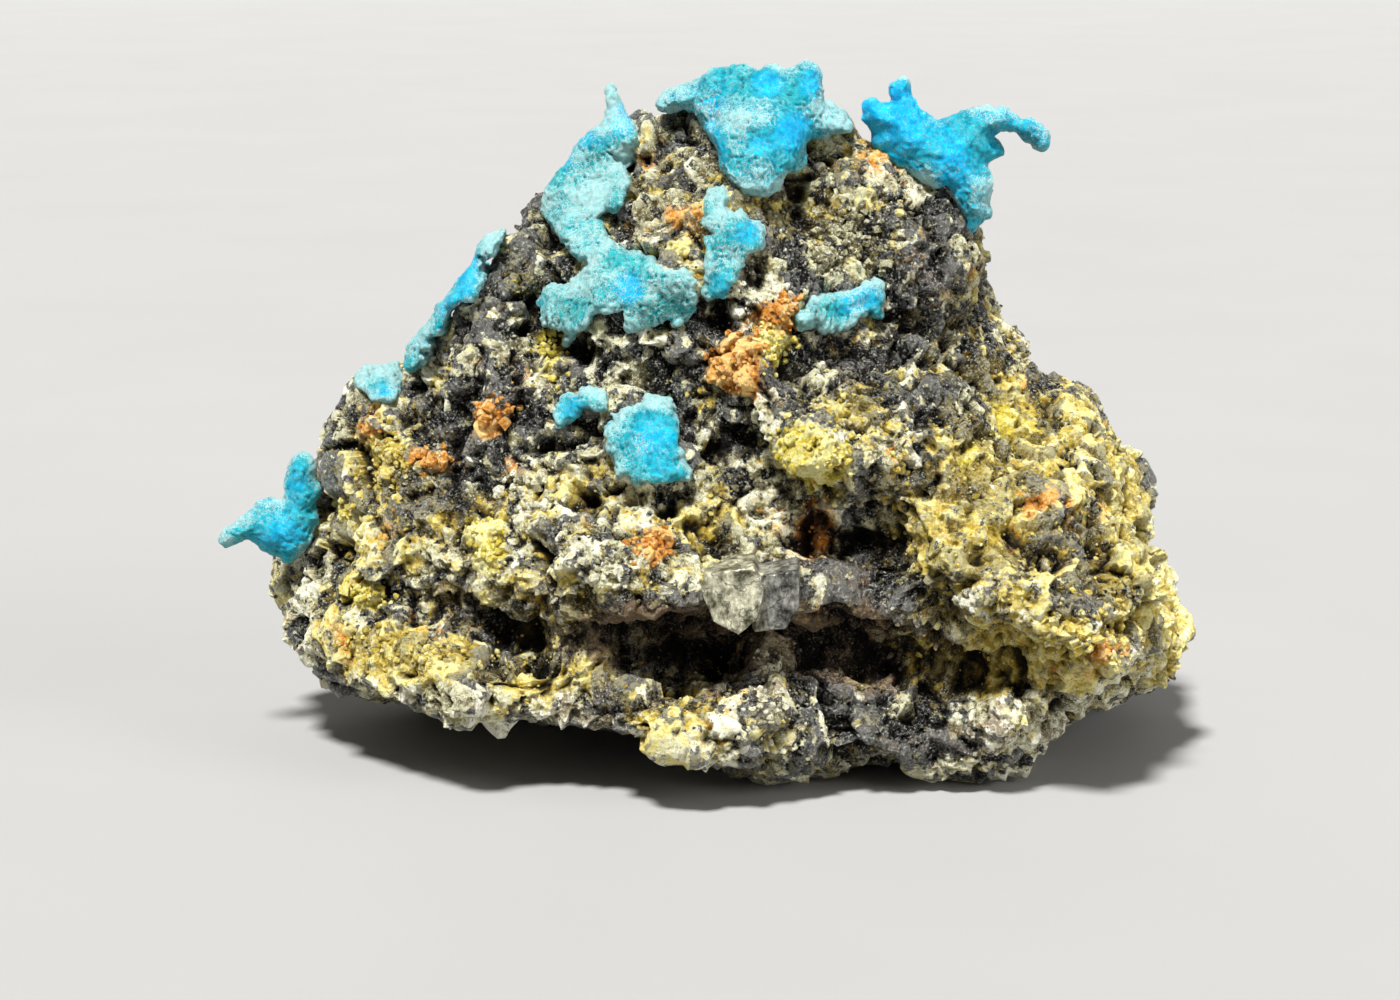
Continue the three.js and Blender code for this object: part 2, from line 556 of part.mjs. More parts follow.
// Two crystals grown into each other: the corners of the face that looks forward [x, z], where that
// face lies and leans, and how much wider the crystal is at its root.
const PYRITE = [
  {
    face: [[0.3, 17.2], [3.6, 17.7], [4.4, 16.2], [3.9, 14.2], [2.6, 13.1], [0.9, 14], [0, 16]],
    y: -20.4,
    lean: 0.25,
  },
  {
    face: [[4.2, 17], [6.7, 17.4], [6.8, 14.8], [5.9, 13.1], [3.7, 12.9]],
    y: -19.6,
    lean: -0.1,
  },
];
const PYRITE_ROOT_Y = -16.5;
const PYRITE_FLARE = 1.12;

function makePyrite() {
  const crystals = PYRITE.map(({ face, y, lean }) => {
    const [midX, midZ] = [0, 1].map((n) => face.reduce((sum, corner) => sum + corner[n], 0) / face.length);
    const corners = face.flatMap(([x, z]) => [
      new THREE.Vector3(x, y + lean * (z - midZ), z),
      new THREE.Vector3(midX + PYRITE_FLARE * (x - midX), PYRITE_ROOT_Y, midZ + PYRITE_FLARE * (z - midZ)),
    ]);
    return solidOf(new ConvexGeometry(corners));
  });
  return mainBody(crystals[0].add(crystals[1]).subtract(grown));
}

// ---- Materials and pieces ----

const MATERIALS = {
  ore: new THREE.MeshStandardMaterial({ color: 0x6f6448, roughness: 0.85, metalness: 0.1 }),
  chalcanthite: new THREE.MeshStandardMaterial({ color: 0x2fb4dc, roughness: 0.4, metalness: 0 }),
  pyrite: new THREE.MeshStandardMaterial({ color: 0xa9a184, roughness: 0.35, metalness: 0.8 }),
};

const { rock, grown } = makeRock();
const group = new THREE.Group();

function addPiece(name, solid, material) {
  const mesh = new THREE.Mesh(geometryOf(solid), material);
  mesh.name = name;
  group.add(mesh);
}

addPiece("ore_matrix", rock, MATERIALS.ore);
GROWTHS.forEach((growth) => addPiece(growth.name, makeGrowth(growth), MATERIALS.chalcanthite));
addPiece("pyrite_crystal", makePyrite(), MATERIALS.pyrite);

const middle = new THREE.Box3().setFromObject(group).getCenter(new THREE.Vector3());
group.children.forEach((mesh) => mesh.geometry.translate(-middle.x, -middle.y, 0));

export default group;
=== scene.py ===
import itertools
import math

import bmesh
import bpy
import numpy as np
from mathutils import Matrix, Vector
from mathutils.bvhtree import BVHTree


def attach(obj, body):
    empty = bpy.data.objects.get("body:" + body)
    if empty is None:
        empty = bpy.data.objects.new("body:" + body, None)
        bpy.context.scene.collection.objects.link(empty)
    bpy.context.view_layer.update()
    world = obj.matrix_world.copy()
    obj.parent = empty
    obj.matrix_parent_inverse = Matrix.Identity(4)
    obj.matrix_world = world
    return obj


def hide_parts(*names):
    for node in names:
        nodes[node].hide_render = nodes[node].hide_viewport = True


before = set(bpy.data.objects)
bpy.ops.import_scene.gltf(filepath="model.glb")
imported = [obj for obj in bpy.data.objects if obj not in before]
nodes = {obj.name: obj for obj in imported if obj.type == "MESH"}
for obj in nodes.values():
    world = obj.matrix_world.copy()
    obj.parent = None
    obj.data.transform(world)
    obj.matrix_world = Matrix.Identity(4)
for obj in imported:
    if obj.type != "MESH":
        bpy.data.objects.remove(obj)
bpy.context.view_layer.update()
MM = 0.001

# ---- The ore ----
# One broken lump of sulphide ore: dark galena and sphalerite, brassy pyrite, quartz, and the ochres
# that they weather to. It is crumbly all over and stands on flat patches of its underside.

ORE_VOXEL = 1.12  # mesh size of the skin before its show face is divided finer
SHOW_BACK = 5.0  # y behind which the stains of the show face no longer reach
SHOW_FADE = 6.0  # how far in front of that they are at full strength
BLOCK, STONE, CRUMB, SPECK = 4.4, 2.2, 0.95, 0.5  # sizes of the grains, from coarse to fine
GRAINS = ("dark", "pale")  # the minerals that it is made of, besides khaki pyrite
# Brown, where it lies thick in the recess under the brow and under the right lobe, is painted shade.
CRUSTS = ("brown", "gold", "sulphur", "rust")  # the ochres that have grown over them
# How much of each there is away from any patch of it.
SCATTERED = {"dark": 0.36, "pale": 0.12, "brown": 0.25, "gold": 0.3, "sulphur": 0.02, "rust": 0.06}
# Where each one gathers on the show face: x, z, half width and half height in mm, and how much.
STAINS = {
    "dark": [
        # These three spots are painted shade: dark grains heaped in the recess and under the right lobe.
        (3.0, 11.3, 11.0, 2.2, 2.6), (12.5, 6.5, 7.0, 3.0, 1.8), (-4.0, 14.2, 4.5, 1.4, 3.2),
        (15.0, 14.9, 3.8, 3.1, 2.5), (-19.2, 25.7, 4.0, 3.9, 0.8), (-14.9, 36.8, 3.5, 3.5, 1.0),
        (14.4, 37.8, 3.5, 3.5, 1.6), (12.5, 31.0, 4.5, 3.0, 1.8), (6.7, 33.4, 2.5, 1.8, 1.6),
        (-1.5, 29.0, 4.0, 3.0, 0.5), (9.5, 16.0, 3.5, 2.5, 1.5), (-7.0, 4.0, 5.0, 2.0, 0.8),
        (13.1, 4.5, 5.0, 1.8, 1.2), (-29.0, 21.0, 2.5, 5.0, 0.6), (18.0, 42.0, 3.0, 4.0, 1.0),
        (-16.5, 12.0, 2.5, 3.0, 1.2), (-20.0, 20.5, 3.0, 2.0, 1.0), (-27.0, 6.5, 2.5, 1.6, 1.2),
        (27.5, 15.0, 2.0, 1.2, 1.2), (22.5, 18.5, 1.6, 1.3, 1.6), (18.0, 26.0, 2.0, 4.0, 0.7),
        (-13.5, 25.5, 2.5, 2.0, 1.2), (1.5, 3.0, 6.0, 1.6, 0.9), (-9.0, 47.5, 3.0, 2.0, 0.8),
        (4.0, 40.5, 3.0, 2.0, 0.6), (1.5, 13.5, 1.8, 1.4, 0.8), (20.8, 20.7, 1.0, 1.1, 5.0),
        (21.8, 18.5, 1.1, 0.8, 4.0), (28.0, 22.8, 1.4, 0.9, 2.5), (24.2, 15.4, 1.3, 1.0, 4.0),
        (29.5, 15.2, 1.1, 0.8, 4.0), (25.6, 17.1, 1.8, 1.0, 3.0), (22.1, 23.3, 1.1, 1.0, 3.0),
        (-17.6, 23.4, 1.6, 1.5, 3.0), (-15.6, 22.1, 1.1, 1.1, 2.0), (-20.4, 25.1, 1.2, 1.0, 2.0),
        (-26.3, 19.3, 1.4, 1.6, 2.0),
    ],
    "gold": [
        # These three take gold away as painted shade in the recess and under the right lobe.
        (4.6, 10.8, 14.0, 2.4, -1.8), (13.0, 6.0, 8.0, 3.5, -0.6), (-4.5, 14.0, 4.0, 1.2, -2.0),
        (23.5, 21.0, 9.5, 8.0, 1.8), (20.2, 10.6, 8.5, 3.9, 1.6), (-22.5, 9.8, 5.6, 1.3, 4.0),
        (-11.0, 9.4, 4.5, 1.8, 1.8), (-26.0, 16.0, 4.0, 3.0, 1.4), (9.3, 38.2, 3.4, 3.7, 0.5),
        (-12.0, 14.0, 5.0, 3.0, 1.1), (31.0, 17.0, 3.0, 5.0, 3.0), (17.0, 19.5, 5.0, 2.5, 1.2),
        (34.0, 9.5, 2.0, 5.0, 2.5), (-1.0, 20.0, 6.0, 2.0, 0.8), (-24.5, 22.8, 2.2, 2.2, 1.6),
        (-4.0, 7.5, 8.0, 2.4, 0.9), (-3.5, 38.0, 2.0, 1.2, 1.5), (10.5, 26.0, 2.0, 2.5, 0.8),
    ],
    "rust": [
        (1.4, 30.5, 2.1, 2.0, 6.0), (4.6, 34.0, 1.9, 1.2, 4.0), (-15.6, 26.8, 1.3, 1.0, 2.5),
        (-20.5, 22.9, 1.3, 0.8, 3.0), (-4.6, 18.7, 1.5, 1.1, 2.5), (12.9, 24.5, 0.8, 1.8, 1.6),
        (17.4, 22.5, 0.9, 1.4, 1.6), (27.2, 11.4, 1.4, 1.0, 4.0), (-2.5, 40.7, 1.6, 1.2, 2.0),
        (7.4, 19.7, 2.0, 2.4, 2.0), (-5.3, 20.6, 3.0, 2.0, 0.7), (11.5, 43.5, 2.5, 1.8, 1.0),
        (5.5, 14.0, 2.5, 1.0, 1.0), (-27.0, 9.6, 0.8, 1.2, 1.5), (22.8, 20.8, 0.9, 0.7, 3.0),
        (21.1, 19.5, 0.6, 0.6, 2.0), (24.9, 20.7, 1.0, 0.8, 1.2), (23.1, 27.2, 1.4, 0.6, 2.0),
        (29.7, 14.0, 0.9, 0.6, 1.4), (-16.0, 25.7, 1.1, 0.7, 1.8), (-14.0, 22.6, 0.8, 0.9, 2.0),
        (-25.2, 23.8, 1.2, 1.0, 1.2), (-23.6, 18.1, 0.7, 1.0, 1.4), (-9.4, 20.8, 1.0, 0.8, 1.8),
        (-16.1, 15.2, 1.5, 1.2, 1.2),
    ],
    "pale": [
        (32.2, 10.8, 1.8, 4.8, 3.5), (23.1, 5.5, 5.2, 2.3, 1.6), (-22.5, 7.4, 5.6, 0.9, 3.5),
        (-13.8, 7.4, 3.8, 1.5, 1.2), (1.7, 6.0, 4.5, 2.2, 1.0), (-8.7, 16.6, 1.9, 1.4, 3.0),
        (18.0, 15.2, 1.5, 1.1, 2.0), (-30.8, 11.4, 1.2, 4.6, 0.8), (-12.0, 21.5, 3.0, 2.0, 1.0),
        (-18.0, 17.5, 2.0, 1.5, 0.8), (3.6, 8.6, 1.3, 2.2, 4.0), (27.0, 8.0, 4.0, 2.0, 0.8),
        (8.5, 6.0, 4.0, 1.2, 0.4), (-26.0, 18.5, 2.0, 1.6, 0.8), (2.8, 26.0, 3.4, 3.6, 1.0),
        # These two spots, with the first spot of pale, make the lower right and the right rim paler.
        (22.0, 12.5, 6.0, 2.6, 1.0), (33.5, 13.0, 2.0, 5.0, 2.0),
    ],
    "sulphur": [
        (6.9, 25.0, 2.5, 2.3, 5.0), (4.2, 31.8, 1.6, 1.4, 4.0), (-12.0, 30.5, 1.3, 1.7, 4.0),
        (-16.0, 17.8, 1.6, 1.6, 3.0), (-25.1, 13.1, 1.8, 0.8, 3.0), (-24.5, 20.0, 1.5, 2.0, 1.6),
        (8.0, 22.0, 1.8, 1.5, 1.6), (-27.5, 18.6, 1.0, 0.8, 3.0), (-15.0, 16.0, 2.0, 1.5, 1.0),
        (-24.2, 23.0, 1.2, 1.6, 2.4), (-17.9, 18.9, 0.9, 1.1, 3.0), (-26.3, 14.1, 1.2, 0.8, 3.0),
        (22.2, 24.6, 2.6, 0.9, 2.4), (20.5, 25.9, 0.9, 1.2, 1.6), (18.0, 24.3, 1.2, 0.8, 2.0),
    ],
    "brown": [
        # This line and the next two spots are painted shade: brown heaped in the recess and under the right
        # lobe.
        (4.6, 10.8, 15.8, 2.6, 3.2), (-4.5, 14.0, 5.0, 1.6, 2.6), (9.0, 13.4, 4.0, 1.2, 1.6),
        (14.0, 4.2, 6.0, 2.4, 1.2), (12.0, 9.5, 7.0, 2.4, 1.8), (-17.5, 12.6, 3.5, 2.0, 2.0),
        (-13.9, 14.1, 4.5, 2.6, 0.8), (-8.0, 11.5, 5.0, 2.0, 0.8), (10.5, 28.5, 2.2, 3.0, 0.6),
        (5.0, 17.5, 3.0, 1.6, 1.0), (-10.0, 43.0, 3.0, 3.0, 0.5),
    ],
}
# Knobs and dents of a few millimetres: x, z, half width, half height and how far out, in mm.
SWELLS = [
    (1.4, 30.5, 2.0, 2.0, 0.9), (4.8, 33.9, 1.8, 1.1, 0.7), (6.7, 25.4, 2.3, 2.0, 0.5),
    (4.2, 31.8, 1.4, 1.3, 0.6), (-8.7, 16.6, 1.8, 1.2, 0.9), (-4.6, 18.7, 1.4, 1.2, 0.6),
    (-25.1, 13.1, 1.8, 0.8, 0.7), (18.0, 15.2, 1.2, 1.0, 0.8), (-16.0, 17.8, 1.5, 1.6, 0.6),
    (-12.0, 30.5, 1.3, 1.6, 0.6), (3.6, 8.6, 1.2, 2.4, 1.3), (8.0, 21.5, 2.0, 1.4, 0.6),
    (-13.0, 20.5, 2.6, 1.8, 0.6), (14.4, 37.8, 2.2, 2.2, 0.5), (-23.5, 21.0, 1.8, 3.0, 0.5),
    (12.0, 14.5, 1.7, 1.5, 0.7), (-2.5, 47.0, 3.5, 1.5, 1.1), (17.5, 41.0, 2.0, 2.0, 0.9),
    (-10.0, 44.0, 2.0, 2.0, 0.5), (-27.0, 26.5, 2.5, 1.5, 0.5), (27.5, 26.5, 3.0, 2.0, 0.8),
    (34.5, 16.5, 2.0, 2.0, 0.9), (35.5, 12.0, 1.5, 3.0, 0.6), (21.0, 34.0, 1.5, 2.0, -0.6),
    (-31.5, 9.0, 1.5, 4.0, -0.5), (35.8, 5.5, 1.5, 4.0, -0.8), (12.0, 9.0, 7.0, 1.8, -1.0),
    (8.5, 31.2, 2.8, 0.8, -0.9), (-14.5, 28.5, 0.7, 3.0, -0.9), (5.0, 36.5, 3.0, 0.8, -0.6),
    (-3.5, 21.3, 2.6, 0.7, -0.9), (10.0, 18.5, 2.0, 1.0, -0.8), (-8.5, 30.5, 2.4, 0.8, -0.5),
]


def chance(cells, salt):
    """A repeatable number from 0 to 1 for each integer cell."""
    i, j, k = (cells[:, n].astype(np.int64) & 0xFFFFFFFF for n in range(3))
    h = ((i * 374761393) ^ (j * 668265263) ^ (k * 1274126177) ^ (salt * 362437)) & 0xFFFFFFFF
    h = ((h ^ (h >> 13)) * 1103515245) & 0xFFFFFFFF
    h = ((h ^ (h >> 15)) * 374761393) & 0xFFFFFFFF
    return (h ^ (h >> 16)) / 4294967296


def grains(points, size, salt):
    """A random packing of grains: each point's grain, the way from its heart, and the next one's nearness."""
    q = points / size
    nearest, second = np.full(len(q), 99.0), np.full(len(q), 99.0)
    cell, away = np.zeros_like(q), np.zeros_like(q)
    for offset in itertools.product((-1, 0, 1), repeat=3):
        c = np.floor(q) + offset
        to = q - c - np.stack([chance(c, salt + n) for n in range(3)], 1)
        distance = (to**2).sum(1)
        nearer = distance < nearest
        second = np.where(nearer, nearest, np.minimum(second, distance))
        nearest = np.where(nearer, distance, nearest)
        cell[nearer], away[nearer] = c[nearer], to[nearer]
    return cell, away * size, (np.sqrt(second) - np.sqrt(nearest)) * size


def lumps(points, size, salt):
    """Smooth noise from -1 to 1."""
    q = points / size
    base = np.floor(q)
    t = q - base
    t = t * t * (3 - 2 * t)
    total = np.zeros(len(q))
    for corner in itertools.product((0, 1), repeat=3):
        weight = np.prod(np.where(corner, t, 1 - t), axis=1)
        total += weight * chance(base + corner, salt)
    return 2 * total - 1


def ridges(points, size, salt, level):
    """Creases where smooth noise changes sign, highest at level."""
    return level - np.abs(lumps(points, size, salt))


def adrift(points, by, size, salts):
    """Points pushed a little way about by smooth noise."""
    return points + by * np.stack([lumps(points, size, salt) for salt in salts], 1)


def facets(packing, salt, height, tilt, groove, width):
    """Height of a surface broken into flat-faced grains with grooves between them."""
    cell, away, gap = packing
    slope = np.stack([chance(cell, salt + n) - 0.5 for n in (3, 4, 5)], 1)
    level = 2 * height * (chance(cell, salt + 6) - 0.5)
    return level + 2 * tilt * (slope * away).sum(1) - groove * np.exp(-((gap / width) ** 2))


def placed(name, data):
    """A new object in the scene."""
    made = bpy.data.objects.new(name, data)
    bpy.context.scene.collection.objects.link(made)
    return made


def applied(piece, name):
    """Gives an object the mesh that its modifiers make of it."""
    mesh = bpy.data.meshes.new_from_object(piece.evaluated_get(bpy.context.evaluated_depsgraph_get()))
    piece.modifiers.clear()
    piece.data = mesh
    mesh.name = name
    return mesh


def remeshed(source, name, voxel):
    """A copy of an object's surface as an even net of quads, voxel in millimetres."""
    copy = placed(name, source.data.copy())
    remesh = copy.modifiers.new("even net", "REMESH")
    remesh.mode = "VOXEL"
    remesh.voxel_size = voxel * MM
    applied(copy, name).materials.clear()
    return copy


def places(mesh):
    """A mesh's vertices in millimetres."""
    co = np.empty(len(mesh.vertices) * 3, np.float32)
    mesh.vertices.foreach_get("co", co)
    return co.reshape(-1, 3).astype(float) / MM


def move(mesh, points):
    mesh.vertices.foreach_set("co", (points * MM).astype(np.float32).ravel())
    mesh.update()


def normals(mesh):
    n = np.empty(len(mesh.vertices) * 3, np.float32)
    mesh.vertex_normals.foreach_get("vector", n)
    return n.reshape(-1, 3).astype(float)


def smoothed(mesh, values, rounds, factor=0.5):
    """Values at a mesh's vertices, drawn towards their neighbours' mean."""
    edges = np.empty(len(mesh.edges) * 2, np.int32)
    mesh.edges.foreach_get("vertices", edges)
    a, b = edges.reshape(-1, 2).T
    ends, others = np.r_[a, b], np.r_[b, a]
    count = np.bincount(ends, minlength=len(values))[:, None].clip(1)
    for _ in range(rounds):
        mean = [np.bincount(ends, column[others], minlength=len(values)) for column in values.T]
        values = values + factor * (np.stack(mean, 1) / count - values)
    return values


def paint(mesh, name, values):
    """A number for each vertex, which the material reads by name."""
    mesh.attributes.new(name, "FLOAT", "POINT").data.foreach_set("value", values.astype(np.float32))


def far_from(points, x, z, w, h):
    """How far points are from a spot, squared, as a share of its half width and half height."""
    return ((points[:, 0] - x) / w) ** 2 + ((points[:, 2] - z) / h) ** 2


def gathered(points, spots):
    """How much of something there is at each point of the show face, from a list of its spots."""
    amount = np.zeros(len(points))
    for *spot, strength in spots:
        amount = amount + strength * np.exp(-(far_from(points, *spot) ** 1.5))
    return amount


def shown(points):
    """1 at the show face, falling to 0 behind it."""
    return np.clip((SHOW_BACK - points[:, 1]) / SHOW_FADE, 0, 1)


def mineral_at(hearts, cells, salt):
    """Which mineral a grain is: an index into GRAINS, or len(GRAINS) for pyrite."""
    show = shown(hearts)
    pyrite = 0.5 + 0.3 * lumps(hearts, 5.0, salt)
    share = []
    for n, name in enumerate(GRAINS):
        patchy = SCATTERED[name] * (1 + 0.9 * lumps(hearts, 6.0, salt + 1 + n))
        share.append(patchy + show * gathered(hearts, STAINS[name]))
    share = np.stack([*share, pyrite], 1).clip(0)
    limit = np.cumsum(share, 1) / share.sum(1)[:, None]
    return (chance(cells, salt + 9)[:, None] > limit[:, :-1]).sum(1)


def crusted(points, name, salt):
    """How thickly an ochre has grown at each point, from 0 to 1."""
    wander = adrift(points, 0.8, 1.8, (salt + 10, salt + 20, salt + 30))
    patchy = SCATTERED[name] + 0.3 * lumps(points, 5.0, salt) + 0.25 * lumps(points, 2.0, salt + 5)
    return (patchy + shown(points) * gathered(wander, STAINS[name]) * 0.3).clip(0, 1)


ore = remeshed(nodes["ore_matrix"], "ore", ORE_VOXEL)

# The show face and the top are divided finer than the back, and what looks straight back or down is
# left as it is.
SHOWN_FROM = Vector((0, -0.9, 0.35)).normalized()
DOWNWARD = -0.75  # a face whose normal's z is under this is part of the underside
HIDDEN = -0.8  # a face that is turned away from the show side by more than this is left coarse
net = bmesh.new()
net.from_mesh(ore.data)
toward = {f: f.normal.dot(SHOWN_FROM) - (0.5 if f.normal.z < DOWNWARD else 0) for f in net.faces}
fine = {e for f, way in toward.items() if way > 0.0 for e in f.edges}
plain = {e for f, way in toward.items() if HIDDEN < way <= 0.0 for e in f.edges} - fine
bmesh.ops.subdivide_edges(net, edges=list(fine), cuts=3, use_grid_fill=True)
bmesh.ops.subdivide_edges(net, edges=[e for e in plain if e.is_valid], cuts=1, use_grid_fill=True)
bmesh.ops.triangulate(net, faces=net.faces)
net.to_mesh(ore.data)
net.free()

skin = ore.data
base = places(skin)
# One thin spur behind the peak is broken off, level with the rock around it.
BEHIND = np.array((0, 0.9, 0.436))
BROKEN_AT = 25.7  # how far out along that way
base -= (base @ BEHIND - BROKEN_AT).clip(0)[:, None] * BEHIND
base = smoothed(skin, base, 5)
move(skin, base)
out = normals(skin)
warped = adrift(base, 0.75, 1.7, (1, 2, 3))
curled = adrift(base, 1.1, 1.5, (4, 5, 6))
blocks, stones = grains(warped, BLOCK, 100), grains(warped, STONE, 200)
crumbs, specks = grains(base + 0.4 * (warped - base), CRUMB, 300), grains(base, SPECK, 400)

# Whole stones are of one mineral, most of them dark, others are a mixture, and odd specks differ
# everywhere.
WHOLE_DARK, WHOLE_OTHER, ODD = 0.8, 0.3, 0.16  # shares of the stones, and of the specks
mineral = mineral_at(base - crumbs[1], crumbs[0], 320)
stone = mineral_at(base - stones[1], stones[0], 220)
whole = chance(stones[0], 210) < np.where(stone == 0, WHOLE_DARK, WHOLE_OTHER)
mineral = np.where(whole, stone, mineral)
odd = chance(specks[0], 410) < ODD
mineral = np.where(odd, mineral_at(base - specks[1], specks[0], 420), mineral)
for n, name in enumerate(GRAINS):
    paint(skin, name, mineral == n)
for n, name in enumerate(CRUSTS):
    paint(skin, name, crusted(base, name, 30 + n))
shading = 0.45 * chance(stones[0], 230) + 0.3 * chance(crumbs[0], 330) + 0.25 * chance(specks[0], 430)
paint(skin, "shade", shading)

# Swells and creases, the flat-faced grains, then holes, all in millimetres. Whole dark stones are
# smoother than the rest.
solid = smoothed(skin, (whole & (mineral == 0)).astype(float)[:, None], 3)[:, 0]
jointed = (0.5 + 0.9 * lumps(base, 7.0, 40)).clip(0, 1)
relief = (
    0.45 * lumps(base, 4.5, 41)
    + 0.60 * ridges(warped, 3.0, 42, 0.35)
    + 0.36 * ridges(curled, 1.7, 43, 0.35)
    + (0.20 * ridges(curled, 0.9, 47, 0.3) + 0.13 * lumps(base, 0.5, 44)) * (1 - 0.6 * solid)
    + facets(blocks, 100, height=0.60, tilt=0.30, groove=0.22, width=0.3) * jointed
    + facets(stones, 200, height=0.22, tilt=0.40, groove=0.14, width=0.2) * (0.35 + 0.65 * solid)
    + facets(crumbs, 300, height=0.06, tilt=0.35, groove=0.04, width=0.12) * (1 - 0.5 * solid)
    - 1.3 * ((lumps(curled, 3.1, 45) - 0.22) / 0.45).clip(0, 1)
    - 0.45 * ((lumps(curled, 1.3, 46) - 0.25) / 0.4).clip(0, 1) * (1 - 0.6 * solid)
)
for *spot, out_by in SWELLS:
    relief += out_by * np.exp(-(far_from(warped, *spot) ** 1.5)) * (0.8 + 0.6 * lumps(curled, 1.2, 48))
PIT_SPACING, PIT_RADIUS, PIT_DEPTH = 2.8, 0.6, 0.9
PIT_SHARE = 0.22  # how many of the places for a pit have one
pitted = grains(base, PIT_SPACING, 500)
pit = np.exp(-((np.linalg.norm(pitted[1], axis=1) / PIT_RADIUS) ** 2))
relief += 0.1 - PIT_DEPTH * ((chance(pitted[0], 507) < PIT_SHARE) * pit)
HIGHEST = 0.8  # what stands out further than this is pressed back by more than half
relief = np.where(relief > HIGHEST, HIGHEST + 0.4 * (relief - HIGHEST), relief)
ON_TABLE, FREE = 0.02, 0.8  # heights up to which the skin is flat, and from which it is fully rough
rough = base + out * (relief * np.clip(base[:, 2] / FREE, 0, 1))[:, None]
rough[:, 2] = np.where(base[:, 2] < ON_TABLE, 0, rough[:, 2].clip(0))
move(skin, rough)

# Narrow and broad hollows get painted shade, and what stands up is paler as a painted highlight.
hollow = ((smoothed(skin, rough, 8) - rough) * out).sum(1) / 0.3
deep = ((smoothed(skin, rough, 80) - rough) * out).sum(1)
paint(skin, "hollow", (0.35 * hollow + 0.9 * deep).clip(-1, 1))


class Shader:
    """Adds nodes to a material and joins them up."""

    def __init__(self, name):
        self.material = bpy.data.materials.new(name)
        self.material.use_nodes = True
        self.tree = self.material.node_tree
        self.surface = self.tree.nodes["Principled BSDF"].inputs
        self.here = self.tree.nodes.new("ShaderNodeTexCoord").outputs["Object"]
        # Cells follow places pushed a little way about, so that they aren't all of one shape.
        push = self.node("TexNoise", {"Vector": self.here, "Scale": 1 / (0.5 * MM), "Detail": 3.0})
        push = self.node("VectorMath", {0: push.outputs["Color"], 3: 0.35 * MM}, operation="SCALE").outputs[0]
        self.pushed = self.node("VectorMath", {0: self.here, 1: push}).outputs[0]

    def feed(self, socket, value):
        if isinstance(value, bpy.types.NodeSocket):
            self.tree.links.new(value, socket)
        else:
            socket.default_value = value

    def node(self, kind, inputs, **settings):
        made = self.tree.nodes.new("ShaderNode" + kind)
        for key, value in settings.items():
            setattr(made, key, value)
        for key, value in inputs.items():
            self.feed(made.inputs[key], value)
        return made

    def calc(self, operation, *values):
        return self.node("Math", dict(enumerate(values)), operation=operation).outputs[0]

    def plus(self, a, b):
        return self.calc("ADD", a, b)

    def times(self, a, b):
        return self.calc("MULTIPLY", a, b)

    def ramp(self, value, low, high, start=0.0, end=1.0):
        """A value between low and high, spread from start to end and held there."""
        return self.node("MapRange", dict(enumerate((value, low, high, start, end)))).outputs[0]

    def mix(self, share, a, b):
        return self.node("Mix", {0: share, 6: a, 7: b}, data_type="RGBA").outputs[2]

    def read(self, name):
        return self.node("Attribute", {}, attribute_name=name).outputs["Fac"]

    def noise(self, size, detail=3.0, rough=0.6, stretch=None):
        where = self.here
        if stretch:
            where = self.node("Mapping", {"Vector": where, "Scale": stretch}).outputs[0]
        inputs = {"Vector": where, "Scale": 1 / (size * MM), "Detail": detail, "Roughness": rough}
        return self.node("TexNoise", inputs).outputs["Fac"]

    def cells(self, size):
        """Three random values for each cell: Red, Green and Blue."""
        made = self.node("TexVoronoi", {"Vector": self.pushed, "Scale": 1 / (size * MM)})
        return self.node("SeparateColor", {"Color": made.outputs["Color"]}).outputs

    def lines(self, size, width, detail, rough, strength=1.0):
        """Fine crooked lines: strength on them, 0 beside them."""
        away = self.calc("ABSOLUTE", self.calc("SUBTRACT", self.noise(size, detail, rough), 0.5))
        return self.ramp(away, 0.0, width, strength, 0)

    def bump(self, height, distance, strength, under=None):
        made = self.node("Bump", {"Height": height, "Distance": distance * MM, "Strength": strength})
        if under:
            self.feed(made.inputs["Normal"], under)
        return made.outputs["Normal"]


def rgb(text):
    """A colour written as on screen, for a shader."""
    levels = [int(text[n : n + 2], 16) / 255 for n in (0, 2, 4)]
    return [v / 12.92 if v <= 0.04045 else ((v + 0.055) / 1.055) ** 2.4 for v in levels] + [1.0]


# Colour of each mineral in its hollows as painted shade, between, and on its high spots as a painted
# highlight, how metallic, and its roughness. Each covers those before it, and brown comes first of the
# ochres.
PALETTE = {
    "pyrite": ("17140c", "857d54", "f0edc8", 0.35, 0.4),
    "dark": ("040404", "1b1b1a", "7e7d78", 0.5, 0.3),
    "pale": ("54482a", "c9c39a", "fffde8", 0.0, 0.5),
    # Brown is kept near black because it also serves as painted shade in the recess.
    "brown": ("0a0603", "2c1c0b", "7c5c2c", 0.0, 0.85),
    "gold": ("7a5c12", "d2b640", "f8ec98", 0.0, 0.75),
    "sulphur": ("846818", "e0ca3a", "fff8ac", 0.0, 0.7),
    "rust": ("8c4408", "dc8a1e", "ffd07c", 0.0, 0.7),
}
# How thickly an ochre lies at most, gold never quite whole, and how much of what is under it is hidden.
MOST_GOLD, MOST_OCHRE = 0.7, 0.9
BROWN_HIDES, OCHRE_HIDES = 0.75, 0.92
look = Shader("ore")
speck = look.cells(0.2)
grit = look.cells(0.32)
# Shade: a tone that differs at random from grain to grain, lowered in the hollows as painted shade.
shade = look.plus(look.times(look.read("shade"), 0.4), look.times(speck["Red"], 0.3))
shade = look.plus(look.plus(shade, look.times(grit["Red"], 0.25)), look.noise(0.35, 6, 0.85))
shade = look.calc("SUBTRACT", shade, look.times(look.read("hollow"), 0.45))
lower, upper = look.ramp(shade, 0.5, 0.92), look.ramp(shade, 0.92, 1.3)


def toned(low, middle, high):
    return look.mix(upper, look.mix(lower, rgb(low), rgb(middle)), rgb(high))


